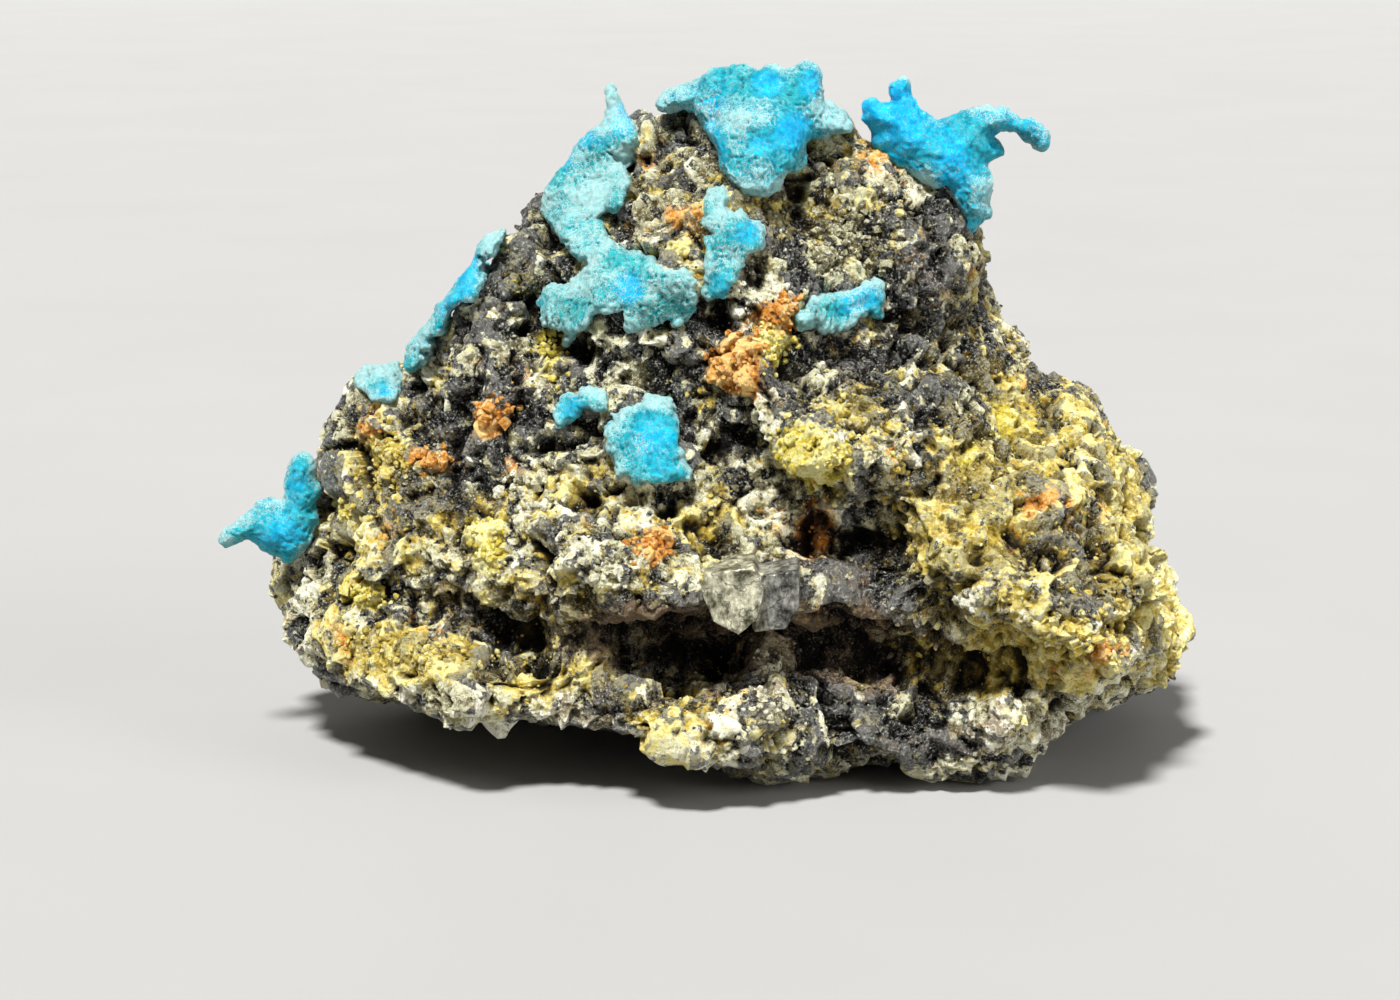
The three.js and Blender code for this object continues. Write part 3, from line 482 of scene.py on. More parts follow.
bare = look.ramp(look.read("dark"), 0.3, 0.7, 1, 0.25)  # dark grains take an ochre less well
for name, (low, middle, high, metallic, roughness) in PALETTE.items():
    if name == "pyrite":
        colour, metal, gloss = toned(low, middle, high), metallic, roughness
        continue
    if name in GRAINS:
        ragged = look.plus(look.read(name), look.ramp(speck["Green"], 0, 1, -0.35, 0.35))
        here = look.ramp(ragged, 0.42, 0.58)
    else:
        most = MOST_GOLD if name == "gold" else MOST_OCHRE
        hides = BROWN_HIDES if name == "brown" else OCHRE_HIDES
        patchy = look.ramp(look.noise(0.7 + 0.1 * len(name), 5, 0.75), 0.25, 0.75, -0.5, 0.5)
        ragged = look.plus(look.calc("MINIMUM", look.read(name), most), patchy)
        ragged = look.plus(ragged, look.ramp(grit["Blue"], 0, 1, -0.12, 0.12))
        cover = look.calc("MAXIMUM", bare, look.ramp(look.read(name), 0.6, 0.9, 0, 1.6 * most - 0.5))
        here = look.times(look.ramp(ragged, 0.42, 0.62, 0, hides), cover)
        soft = here if name == "brown" else look.calc("MAXIMUM", soft, here)
    colour = look.mix(here, colour, toned(low, middle, high))
    metal = look.node("Mix", {0: here, 2: metal, 3: metallic}).outputs[0]
    gloss = look.node("Mix", {0: here, 2: gloss, 3: roughness}).outputs[0]
# Black specks over it all and white ones that are painted glints, both fewer where ochre lies, and painted
# shade in the hollows.
pepper = look.times(look.ramp(look.noise(0.35, 4, 0.8), 0.59, 0.65), look.ramp(soft, 0, 1, 1, 0.45))
colour = look.mix(pepper, colour, rgb("0c0a07"))
# Painted glints: white specks, greyer on dark grains.
salt = look.times(look.ramp(look.noise(0.2, 3, 0.75), 0.56, 0.62), look.ramp(soft, 0, 1, 1, 0.2))
white = look.mix(look.ramp(look.read("dark"), 0.3, 0.7), rgb("f4f3e2"), rgb("c6c6be"))
colour = look.mix(salt, colour, white)
# Painted shade, near black, in the hollows.
colour = look.mix(look.ramp(look.read("hollow"), 0.2, 0.9, 0, 0.94), colour, rgb("0b0804"))
look.feed(look.surface["Base Color"], colour)
look.feed(look.surface["Metallic"], metal)
look.surface["Specular IOR Level"].default_value = 0.2
look.feed(look.surface["Roughness"], look.times(gloss, look.ramp(grit["Blue"], 0, 1, 0.6, 1.3)))
bumpy = look.bump(grit["Green"], 0.14, 0.8)
bumpy = look.bump(look.noise(0.4, 5, 0.8), 0.5, 1.0, bumpy)
look.feed(look.surface["Normal"], look.bump(speck["Red"], 0.04, 0.5, bumpy))
skin.materials.append(look.material)
skin.shade_flat()
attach(ore, "root")
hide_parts("ore_matrix")

# ---- Crystals and crumbs on the ore ----
# Small cubes of galena and pyrite and rounder crumbs of ochre and quartz, grown half in the skin and
# half out of it, scattered all over and thick where a nodule or a vein stands out.

CUBE = [(-1, -1, -1), (1, -1, -1), (1, 1, -1), (-1, 1, -1), (-1, -1, 1), (1, -1, 1), (1, 1, 1), (-1, 1, 1)]
CUBE_SIDES = [(0, 3, 2, 1), (4, 5, 6, 7), (0, 1, 5, 4), (1, 2, 6, 5), (2, 3, 7, 6), (3, 0, 4, 7)]
GOLDEN = (1 + math.sqrt(5)) / 2
ROUND = [(-1, GOLDEN, 0), (1, GOLDEN, 0), (-1, -GOLDEN, 0), (1, -GOLDEN, 0), (0, -1, GOLDEN), (0, 1, GOLDEN)]
ROUND += [(0, -1, -GOLDEN), (0, 1, -GOLDEN), (GOLDEN, 0, -1), (GOLDEN, 0, 1)]
ROUND += [(-GOLDEN, 0, -1), (-GOLDEN, 0, 1)]
ROUND_SIDES = [
    (0, 11, 5), (0, 5, 1), (0, 1, 7), (0, 7, 10), (0, 10, 11), (1, 5, 9), (5, 11, 4), (11, 10, 2), (10, 7, 6),
    (7, 1, 8), (3, 9, 4), (3, 4, 2), (3, 2, 6), (3, 6, 8), (3, 8, 9), (4, 9, 5), (2, 4, 11), (6, 2, 10),
    (8, 6, 7), (9, 8, 1),
]
# Nodules: x, z, half width and half height, mineral, how many crumbs and their radius.
NODULES = [
    (1.4, 30.5, 2.1, 2.0, "rust", 60, 0.26), (4.8, 33.9, 1.9, 1.1, "rust", 60, 0.36),
    (6.7, 25.4, 2.5, 2.1, "sulphur", 70, 0.26), (4.2, 31.8, 1.5, 1.4, "sulphur", 40, 0.26),
    (-12.0, 30.5, 1.3, 1.7, "sulphur", 40, 0.24), (-16.0, 17.8, 1.4, 1.5, "sulphur", 40, 0.24),
    (-27.2, 18.4, 0.9, 0.7, "sulphur", 24, 0.34), (-25.1, 13.1, 1.8, 0.7, "sulphur", 34, 0.3),
    (-8.7, 16.6, 1.8, 1.2, "pale", 40, 0.26), (-15.6, 26.8, 1.2, 0.9, "rust", 36, 0.32),
    (-20.5, 22.9, 1.2, 0.7, "rust", 30, 0.28), (-4.6, 18.7, 1.3, 0.9, "rust", 30, 0.3),
    (27.2, 11.4, 1.3, 0.9, "rust", 30, 0.32), (18.0, 15.2, 1.2, 0.9, "pale", 26, 0.34),
    (-13.0, 21.5, 2.4, 1.6, "pale", 60, 0.32), (3.6, 8.6, 1.0, 2.0, "pale", 40, 0.30),
    (12.9, 24.5, 0.7, 1.6, "gold", 30, 0.28), (-23.5, 22.0, 1.6, 2.6, "gold", 70, 0.3),
    (-22.5, 10.2, 5.4, 0.9, "gold", 120, 0.22), (9.8, 38.4, 2.8, 3.0, "pyrite", 120, 0.34),
    (26.0, 12.5, 3.6, 1.6, "gold", 90, 0.36),
]
SCATTER = 9000  # how many lie anywhere
CLEAR = 0.25  # room left between them and the blue growths

covers = [name for name in nodes if name not in ("ore_matrix", "pyrite_crystal")]
corners, sides = [], []
for name in covers:
    first = len(corners)
    corners += [v.co / MM for v in nodes[name].data.vertices]
    sides += [[first + v for v in p.vertices] for p in nodes[name].data.polygons]
blooms = BVHTree.FromPolygons(corners, sides)

rng = np.random.default_rng(11)
triangle = np.empty(len(skin.polygons) * 3, np.int32)
skin.polygons.foreach_get("vertices", triangle)
a, b, c = (rough[corner] for corner in triangle.reshape(-1, 3).T)
cross = np.cross(b - a, c - a)
area = np.linalg.norm(cross, axis=1)
upright = cross / area[:, None].clip(1e-9)
middle = (a + b + c) / 3
area = area * (upright[:, 2] > DOWNWARD) * (middle[:, 2] > 1.2)
seen = np.clip(-upright[:, 1] + 0.6 * upright[:, 2] + 0.5, 0.25, 1.2)


def sown(weight, count):
    """Places spread at random over the skin, with the way out of it at each."""
    chosen = rng.choice(len(weight), count, p=weight / weight.sum())
    u, v = rng.random((2, count, 1))
    u, v = np.where(u + v > 1, 1 - u, u), np.where(u + v > 1, 1 - v, v)
    return a[chosen] + u * (b - a)[chosen] + v * (c - a)[chosen], upright[chosen]


spots, ways = sown(area * seen, SCATTER)
kinds = np.array([*GRAINS, "pyrite"])[mineral_at(spots, np.floor(spots / 0.3), 600)]
for n, name in enumerate(CRUSTS):
    kinds = np.where(crusted(spots, name, 30 + n) > 0.3 + 0.5 * rng.random(SCATTER), name, kinds)
radii = (0.10 * np.exp(0.45 * rng.standard_normal(SCATTER))).clip(0.06, 0.35)
for *nodule, name, count, radius in NODULES:
    near = far_from(middle, *nodule) + (middle[:, 1] > 2) * 9  # none on the back
    spot, way = sown(area * np.exp(-1.4 * near) * (near < 2), count)
    spots, ways = np.r_[spots, spot], np.r_[ways, way]
    kinds = np.r_[kinds, np.full(count, name)]
    radii = np.r_[radii, radius * np.exp(0.3 * rng.standard_normal(count))]
clear = np.array([blooms.find_nearest(Vector(spot))[3] for spot in spots]) > radii + CLEAR
spots, ways, kinds, radii = spots[clear], ways[clear], kinds[clear], radii[clear]

cubic = np.isin(kinds, ("dark", "pyrite")) | (rng.random(len(kinds)) < 0.3)
for name, chosen, shape, shape_sides in (
    ("ore_cubes", cubic, CUBE, CUBE_SIDES),
    ("ore_crumbs", ~cubic, ROUND, ROUND_SIDES),
):
    count, corners = chosen.sum(), len(shape)
    shape = np.array(shape, float) / np.linalg.norm(shape[0])
    turn = np.linalg.qr(rng.standard_normal((count, 3, 3)))[0]
    stretch = rng.uniform(0.55, 1.2, (count, 1, 3)) * radii[chosen][:, None, None]
    worn = 1 + rng.uniform(-0.3, 0.15, (count, corners, 1))
    body = np.einsum("nvk,nkj->nvj", shape * stretch * worn, turn)
    lift = (body * ways[chosen][:, None]).sum(2) / radii[chosen][:, None]
    body += (spots[chosen] + 0.15 * radii[chosen][:, None] * ways[chosen])[:, None]
    mirrored = np.linalg.det(turn) < 0
    rings = np.array([[side, side[::-1]] for side in shape_sides])[:, mirrored.astype(int)]
    rings = rings.transpose(1, 0, 2) + corners * np.arange(count)[:, None, None]
    mesh = bpy.data.meshes.new(name)
    mesh.from_pydata((body.reshape(-1, 3) * MM).tolist(), [], rings.reshape(-1, rings.shape[2]).tolist())
    for mineral_name in PALETTE:
        paint(mesh, mineral_name, np.repeat(kinds[chosen] == mineral_name, corners))
    paint(mesh, "shade", np.repeat(rng.random(count), corners))
    # Painted shade at the root of each grain and a painted highlight on its top.
    paint(mesh, "hollow", (0.15 - 0.5 * lift).ravel().clip(-1, 1))
    mesh.materials.append(look.material)
    mesh.shade_flat()
    grown_grit = placed(name, mesh)
    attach(grown_grit, "root")

# ---- The blue growths ----
# Chalcanthite crusts, buds and a curled spray: clear azure where the crystal is thick and clean,
# and frosted white with a web of tiny crystals where its skin has dried. They have grown onto the ore.

GROWTH_STEP = 0.22  # mesh size before it is halved
# A growth fills its outline [x, z]. A crust is thick over the rock in the middle and rounded off over
# its rim, and one that wraps over a crest also ends at an oval in plan; a flat growth stands free in a
# plane of y and bulges to both sides. Stems are chains of balls x, y, z, radius, filled in between.
# Then how frosted each is and how azure at heart, and spots of azure and of frost as in STAINS.
GROWTHS = {
    "crown_crust": {
        "outline": [
            (-4.2, 47.9), (-3.3, 48.9), (-2.5, 49), (-2, 49.5), (-1.3, 49.8), (-0.2, 50.6), (0.4, 50.8),
            (1.8, 51), (2.4, 50.8), (4.1, 51), (4.5, 50.7), (5.2, 50.7), (6.2, 51.1), (6.8, 51),
            (7.2, 50.7), (7.6, 50.1), (7.7, 49.4), (7.4, 48.4), (9.1, 47.5), (9.8, 46.7), (10.2, 46),
            (9.7, 45.8), (7.6, 45.7), (6.6, 45.3), (6.4, 44.9), (6.7, 44), (6.1, 43.1), (5.5, 43),
            (5, 43.6), (4.6, 42.6), (3.9, 42.4), (2.6, 42.5), (1.3, 42.9), (0.9, 43.2), (0.7, 43.6),
            (-0.1, 45.5), (-0.2, 46), (-0.5, 46.4), (-0.2, 47.4), (0.1, 47.7), (-0.2, 47.9), (-1.8, 47.9),
            (-3.8, 47.5),
        ],
        "thick": 2.7, "rim": 1.1, "depth": (-12, 5), "plan": (3.1, -2.8, 8.4, 6.8),
        "stems": [
            [(0.2, -3.2, 47.9, 1.7), (0.2, -3.2, 49.5, 1.1)],
            [(1.9, -3.2, 48.1, 1.7), (1.9, -3.2, 49.8, 1.1)],
            [(4.2, -3.4, 48.1, 1.8), (4.2, -3.4, 49.8, 1.1)],
            [(6.3, -3.2, 48.1, 1.7), (6.5, -3.2, 49.8, 1.25)],
            [(3.1, -7.5, 43.9, 2), (3.9, -6.6, 45.6, 2)],
            [(-3.2, -2, 48.2, 0.7), (-2.2, -2, 48.3, 0.9), (0, -2, 48.6, 1.3)],
        ],
        "frosted": 0.12, "azured": 0.35,
        "azures": [
            (-0.2, 45.6, 0.9, 1.6, 0.6), (5.6, 46.4, 1.3, 1.3, 0.8), (3.2, 45.6, 1, 0.6, 0.5),
            (3.9, 49.6, 1.1, 0.9, 0.9), (6.9, 49.6, 0.9, 1, 0.7), (-0.2, 48, 1.2, 0.8, 0.3),
        ],
        "frosts": [
            (1.6, 47.6, 3, 1, 0.35), (-2.4, 48.8, 2.4, 1.2, 0.25), (8.9, 47.2, 1.6, 1.4, 0.6),
            (2.5, 42.9, 2.4, 1.2, 0.35), (2.6, 44, 1.6, 1.4, 0.2),
        ],
    },
    "horn_growth": {
        "outline": [
            (10.7, 47.9), (10.8, 48.2), (11.5, 48.5), (12.4, 48.3), (12.7, 48.4), (12.5, 49.3),
            (12.8, 49.6), (13.7, 50), (14.1, 49.8), (14.4, 49.4), (14.2, 48.9), (14.7, 47.9),
            (15.8, 46.9), (16.3, 46.7), (17, 47.1), (17.5, 47.1), (18, 47.4), (19.7, 47.9), (20.9, 47.9),
            (21.4, 47.6), (22.1, 46.9), (22.5, 47.1), (23, 47.1), (23.6, 46.8), (24.4, 45.6),
            (24.4, 45.1), (24.2, 44.7), (23.7, 44.5), (21.5, 45.8), (20.6, 45.6), (20.6, 45.3),
            (21.2, 44.6), (21.2, 44.2), (20, 43.7), (19.9, 43.4), (20.2, 42.9), (20.3, 42.2),
            (20.1, 41.2), (20.4, 40), (20.2, 39.5), (19.5, 39.2), (18.9, 38.5), (18.5, 38.6),
            (18.2, 39.1), (17.2, 41.8), (16.9, 42), (16.4, 41.8), (14.9, 42.4), (13.9, 43.2),
            (12.9, 43.5), (11.6, 44.7), (11.4, 45.2), (11.5, 45.8), (10.7, 46.8),
        ],
        "flat": -2.5, "bulge": 1.4, "depth": (-6, 1),
        "frosted": 0, "azured": 0.75,
        "azures": [
            (12.4, 46.4, 2.4, 3, 1), (13.6, 48.1, 0.9, 1.1, 0.6), (17.2, 43.5, 1.3, 2.3, 0.6),
            (11.1, 48, 0.8, 1, 0.5),
        ],
        "frosts": [
            (13.6, 49.9, 0.8, 0.5, 0.6), (23.6, 45.6, 1.3, 1.4, 0.6), (20.4, 47.4, 1.8, 0.8, 0.35),
            (14.6, 43.4, 2.6, 0.8, 0.5), (16.1, 42.3, 1.6, 0.8, 0.45), (19.3, 40.5, 1.1, 2.3, 0.4),
            (10.7, 49, 0.6, 0.4, 0.4),
        ],
    },
    "draped_crust": {
        "outline": [
            (-8.1, 46.3), (-7.3, 46.4), (-5.7, 45.7), (-5.8, 45.4), (-6.8, 44.7), (-7.2, 44),
            (-6.6, 43.5), (-6.5, 42.9), (-6.2, 42.4), (-6.2, 41.6), (-6.4, 40.9), (-7.8, 39.7),
            (-7.9, 38.4), (-7.3, 38.6), (-3.9, 37.4), (-2.2, 37.2), (-1.6, 36.9), (-1.2, 36.2),
            (-1.1, 35.5), (-1.4, 34), (-2.5, 33.2), (-4.3, 32.8), (-5.9, 32.7), (-6.3, 32.9),
            (-6.6, 34.1), (-7.9, 33.8), (-9, 33.2), (-9.3, 32.8), (-10.6, 30.8), (-11, 30.8),
            (-11.1, 31.3), (-11, 31.9), (-11.5, 32.1), (-11.9, 31.9), (-12.3, 32.1), (-13, 34),
            (-12.7, 34.6), (-12.1, 35.1), (-10.8, 35.3), (-10.1, 35.9), (-9.3, 37), (-9.9, 36.7),
            (-10.2, 37.2), (-11.2, 38.1), (-12.1, 38.7), (-12.8, 39.9), (-13.3, 40), (-13.7, 39.7),
            (-14, 40.8), (-13.1, 41.7), (-12.8, 42.5), (-11.9, 43.1), (-11.8, 43.8), (-11.2, 45),
            (-10.8, 45.5), (-9.7, 46.2),
        ],
        "thick": 1.0, "rim": 0.5, "depth": (-16, 3), "plan": (-7.6, -8.0, 8.5, 9.5),
        "stems": [
            [(-6.5, -1.6, 44.9, 1.3), (-7.2, -1.3, 46.8, 0.85), (-7.6, -1.2, 48.9, 0.4)],
            [
                (-8, -1.2, 45.4, 0.9), (-9.4, -1.2, 44.4, 0.9), (-10.3, -1.4, 42.9, 0.8),
                (-11.6, -1.6, 41.2, 0.8),
            ],
        ],
        "frosted": 0.47, "azured": 0.05,
        "azures": [
            (-6.8, 47, 1.1, 1.2, 0.9), (-9.3, 45.5, 2, 1, 0.5), (-11.1, 43.9, 0.8, 0.8, 0.6),
            (-6.1, 35.8, 1.1, 1.1, 0.9),
        ],
        "frosts": [
            (-8.2, 42.6, 2.1, 1.8, 0.3), (-9.3, 40.5, 1.8, 1.5, 0.35), (-9, 36.9, 2, 1.1, 0.25),
            (-2.9, 36.9, 2, 1.5, 0.25), (-10.8, 31.2, 1, 1.6, 0.3), (-13.2, 41.2, 1.1, 1.1, 0.5),
            (-7.3, 49.6, 0.5, 0.8, 0.3),
        ],
    },
    "ribbon_crust": {
        "outline": [
            (-0.9, 41.8), (0.3, 42.5), (0.8, 42.4), (1.4, 41.9), (0.5, 41.6), (0.5, 41.3), (1.8, 41.2),
            (2.7, 40.5), (3.5, 40.1), (3.6, 39.6), (3.4, 38.5), (2.9, 38.4), (2.4, 38.1), (2.1, 37.7),
            (1.3, 36.1), (1.2, 35.5), (0.9, 35), (0.3, 34.8), (-0.2, 34.9), (-0.5, 35.1), (-0.7, 35.6),
            (-0.7, 36.1), (-0.4, 37.2), (-0.9, 39.2), (-0.5, 39.4), (-0.4, 39.6), (-1, 40.2),
            (-1.1, 41.2),
        ],
        "thick": 1.0, "rim": 0.45, "depth": (-17, -6),
        "frosted": 0.45, "azured": 0.15,
        "azures": [(2.3, 39.7, 1.2, 0.9, 0.7), (0.5, 36.2, 0.8, 1, 0.4)],
        "frosts": [(0.4, 41.6, 1.1, 0.9, 0.3), (1, 38.3, 1.2, 0.9, 0.3)],
    },
    "ledge_crust": {
        "outline": [
            (6.4, 34.4), (6.8, 35.1), (7.2, 35.2), (9.3, 35.1), (10.4, 35.5), (11.3, 36), (12.1, 36.1),
            (12.3, 35.8), (12.3, 35.1), (12, 33.7), (12.1, 33.2), (11.9, 33.1), (11.6, 32.9), (11.2, 33),
            (11, 33.3), (10.6, 33.4), (10.3, 33.3), (10.1, 33), (9.4, 32.5), (8.7, 32.4), (7.7, 32.6),
            (6.9, 32.6), (6.5, 32.8), (6.1, 32.8), (5.8, 33.1), (5.7, 33.5), (5.9, 33.9),
        ],
        "thick": 1.4, "rim": 0.6, "depth": (-16, -3),
        "frosted": 0.4, "azured": 0.2,
        "azures": [(10.6, 34.6, 1.4, 1, 0.6), (9, 34.1, 0.8, 0.7, 0.3)],
        "frosts": [(7.2, 33.5, 1.3, 0.8, 0.35), (9.5, 32.8, 2, 0.5, 0.4)],
    },
    "edge_crust": {
        "outline": [
            (-23.2, 28.6), (-22.9, 30.3), (-22.4, 31.3), (-21.3, 32.4), (-20.9, 33.1), (-18.9, 35.6),
            (-18.7, 36.3), (-18.1, 37.5), (-17, 38.5), (-15.3, 38.7), (-15.3, 38), (-15.8, 37.3),
            (-17.1, 36.4), (-16.7, 35.6), (-17, 34.7), (-17.5, 34.3), (-18.2, 34.1), (-19.1, 33.2),
            (-19, 32.8), (-19.2, 32), (-20.2, 31.2), (-20.5, 30.8), (-21, 29.5), (-21.4, 28.9),
            (-21.7, 28.6), (-22.8, 28.1),
        ],
        "thick": 1.6, "rim": 0.7, "depth": (-11, 4), "plan": (-19.1, -3.8, 6, 5.8),
        "frosted": 0.4, "azured": 0.25,
        "azures": [(-18, 36, 1, 1.7, 0.7), (-19.3, 33.9, 1.1, 1.1, 0.4)],
        "frosts": [(-15.8, 38.3, 1.3, 0.8, 0.5), (-21.5, 30.4, 1.2, 1.6, 0.3)],
    },
    "shoulder_crust": {
        "outline": [
            (-26.2, 28.3), (-23.6, 28.6), (-23.8, 27.3), (-23.3, 27.3), (-23.3, 27), (-23.5, 26.7),
            (-24.7, 26.3), (-25.4, 26.4), (-26.3, 27.1), (-26.4, 27.5),
        ],
        "thick": 0.9, "rim": 0.5, "depth": (-8, 1),
        "frosted": 0.55, "azured": 0.1,
        "azures": [(-24.2, 27.1, 0.9, 0.5, 0.5)],
        "frosts": [(-24.6, 28.3, 1.7, 0.5, 0.4)],
    },
    "finger_growth": {
        "outline": [
            (-31.6, 21.4), (-31.4, 21.9), (-30.5, 22.4), (-29.9, 22.3), (-29.6, 21.8), (-29.5, 20.3),
            (-29.3, 19.6), (-29.4, 18.8), (-29.6, 18.3), (-29.3, 17.6), (-29.4, 17), (-29.8, 16.6),
            (-29.7, 16.1), (-30.9, 14.5), (-31.7, 13.8), (-32.2, 14), (-32.4, 14.4), (-33.4, 14.5),
            (-33.9, 14.8), (-34.6, 15.7), (-34.9, 15.7), (-35.3, 15.4), (-36.5, 15.1), (-37, 15.4),
            (-37.1, 15.7), (-36.5, 16.6), (-34.4, 18), (-34.1, 18.5), (-33.5, 18.8), (-33.1, 19.2),
            (-32.6, 18.7), (-32.2, 18.5), (-31.9, 19), (-31.8, 19.6), (-31.9, 19.9),
        ],
        "flat": -3.4, "bulge": 1.3, "depth": (-7, 1),
        "frosted": 0.15, "azured": 0.35,
        "azures": [(-30.8, 20, 1.1, 1.8, 0.5), (-31.5, 16.6, 1.8, 1.6, 0.5), (-33.6, 15.8, 1, 1, 0.4)],
        "frosts": [(-36.2, 15.8, 0.6, 0.7, 0.6), (-35.2, 17.2, 1.1, 0.4, 0.5), (-29.7, 21, 0.5, 1.5, 0.5)],
    },
    "small_patch": {
        "outline": [
            (-11.3, 27.7), (-11.1, 28), (-10.7, 28.2), (-10.2, 28.2), (-8.5, 28.7), (-8.1, 28.5),
            (-8, 28.2), (-7.9, 27.4), (-8.3, 27.2), (-9.2, 27), (-10.2, 26), (-10.6, 26), (-10.9, 25.8),
            (-11.3, 25.9), (-11.5, 26.3), (-11.5, 27.3),
        ],
        "thick": 1.0, "rim": 0.5, "depth": (-17, -6),
        "frosted": 0.4, "azured": 0.3,
        "azures": [(-10.1, 27.2, 1, 0.8, 0.5)],
        "frosts": [(-8.5, 28.4, 0.9, 0.6, 0.4)],
    },
    "centre_patch": {
        "outline": [
            (-7.8, 26.3), (-7.7, 26.7), (-7.4, 27), (-4.8, 28), (-4.3, 28.1), (-3.8, 28), (-2.8, 27.3),
            (-2.5, 26.8), (-2.5, 25.5), (-2.3, 24.1), (-1.9, 23.7), (-1.5, 23.3), (-1.1, 22.5),
            (-1.7, 22.4), (-2.9, 22.5), (-4.1, 22.3), (-5, 22.6), (-5.5, 22.5), (-6.4, 23), (-7, 23.1),
            (-7.4, 24), (-7.8, 25.8),
        ],
        "thick": 1.2, "rim": 0.5, "depth": (-20, -9),
        "frosted": 0.25, "azured": 0.2,
        "azures": [(-4.2, 25.6, 1.8, 1.6, 0.5), (-3.2, 23.5, 1.4, 0.7, 0.4)],
        "frosts": [(-6.9, 26, 0.8, 2.4, 0.45), (-4.8, 28, 2.2, 0.6, 0.4)],
    },
}


def inside(outline, x, z):
    """Distance from the edge of an outline, positive inside it."""
    nearest, within = np.full(x.shape, 99.0), np.zeros(x.shape, bool)
    for (ax, az), (bx, bz) in zip(outline, outline[1:] + outline[:1]):
        along = ((x - ax) * (bx - ax) + (z - az) * (bz - az)) / ((bx - ax) ** 2 + (bz - az) ** 2)
        t = along.clip(0, 1)
        nearest = np.minimum(nearest, np.hypot(x - ax - t * (bx - ax), z - az - t * (bz - az)))
        within ^= ((az > z) != (bz > z)) & (x < ax + (z - az) * (bx - ax) / (bz - az or 1))
    return np.where(within, nearest, -nearest)


def stem_field(x, y, z, chain):
    """Distance from a chain of balls, each joined to the next by a cone."""
    nearest = 99.0
    for (ax, ay, az, ar), (bx, by, bz, br) in zip(chain, chain[1:]):
        dx, dy, dz = bx - ax, by - ay, bz - az
        along = ((x - ax) * dx + (y - ay) * dy + (z - az) * dz) / (dx * dx + dy * dy + dz * dz)
        t = along.clip(0, 1)
        far = np.sqrt((x - ax - t * dx) ** 2 + (y - ay - t * dy) ** 2 + (z - az - t * dz) ** 2)
        nearest = np.minimum(nearest, far - ar - t * (br - ar))
    return nearest


def above_ore(axes):
    """Height over the ore's skin on a grid, measured on one three times as coarse and filled in."""
    step = 3 * GROWTH_STEP
    coarse = [np.arange(axis[0], axis[-1] + 3.1 * GROWTH_STEP, step) for axis in axes]
    height = np.empty([len(axis) for axis in coarse])
    for i, j, k in np.ndindex(height.shape):
        place = Vector((coarse[0][i], coarse[1][j], coarse[2][k]))
        hit, way, _, far = under.find_nearest(place)
        height[i, j, k] = math.copysign(far, (place - hit).dot(way))
    for n, axis in enumerate(axes):
        at = (axis - axis[0]) / step
        t = (at % 1).reshape([-1 if m == n else 1 for m in range(3)])
        low = height.take(np.floor(at).astype(int), n)
        height = low + t * (height.take(np.floor(at).astype(int) + 1, n) - low)
    return height


def surface_net(field, low, step):
    """The surface where a field on a grid is zero, as points and quads."""
    shape = np.array(field.shape)
    corners = list(itertools.product((0, 1), repeat=3))
    value = {c: field[tuple(slice(v, n - 1 + v) for v, n in zip(c, shape))] for c in corners}
    within = sum((v < 0).astype(int) for v in value.values())
    cell = np.nonzero((within > 0) & (within < 8))
    number = np.full(shape - 1, -1)
    number[cell] = np.arange(len(cell[0]))
    total, crossings = np.zeros((len(cell[0]), 3)), np.zeros((len(cell[0]), 1))
    for corner, axis in itertools.product(corners, range(3)):
        if corner[axis]:
            continue
        a, b = value[corner][cell], value[tuple(v + (n == axis) for n, v in enumerate(corner))][cell]
        cut = (a < 0) != (b < 0)
        t = a / np.where(cut, a - b, 1)
        total += cut[:, None] * (np.array(corner) + t[:, None] * np.eye(3)[axis])
        crossings += cut[:, None]
    quads = []
    for axis in range(3):
        u, v = np.eye(3, dtype=int)[[(axis + 1) % 3, (axis + 2) % 3]]
        start, end = field.take(range(shape[axis] - 1), axis), field.take(range(1, shape[axis]), axis)
        edge = np.argwhere((start < 0) != (end < 0))
        edge = edge[((edge > 0) & (edge < shape - 1))[:, (u + v) > 0].all(1)]
        ring = np.stack([number[tuple((edge - s).T)] for s in (0 * u, u, u + v, v)], 1)
        outward = start[tuple(edge.T)] < 0
        quads.append(np.where(outward[:, None], ring, ring[:, ::-1]))
    return low + step * (np.stack(cell, 1) + total / crossings), np.concatenate(quads)


calm = smoothed(skin, rough, 3)
under = BVHTree.FromPolygons(calm.tolist(), triangle.reshape(-1, 3).tolist())


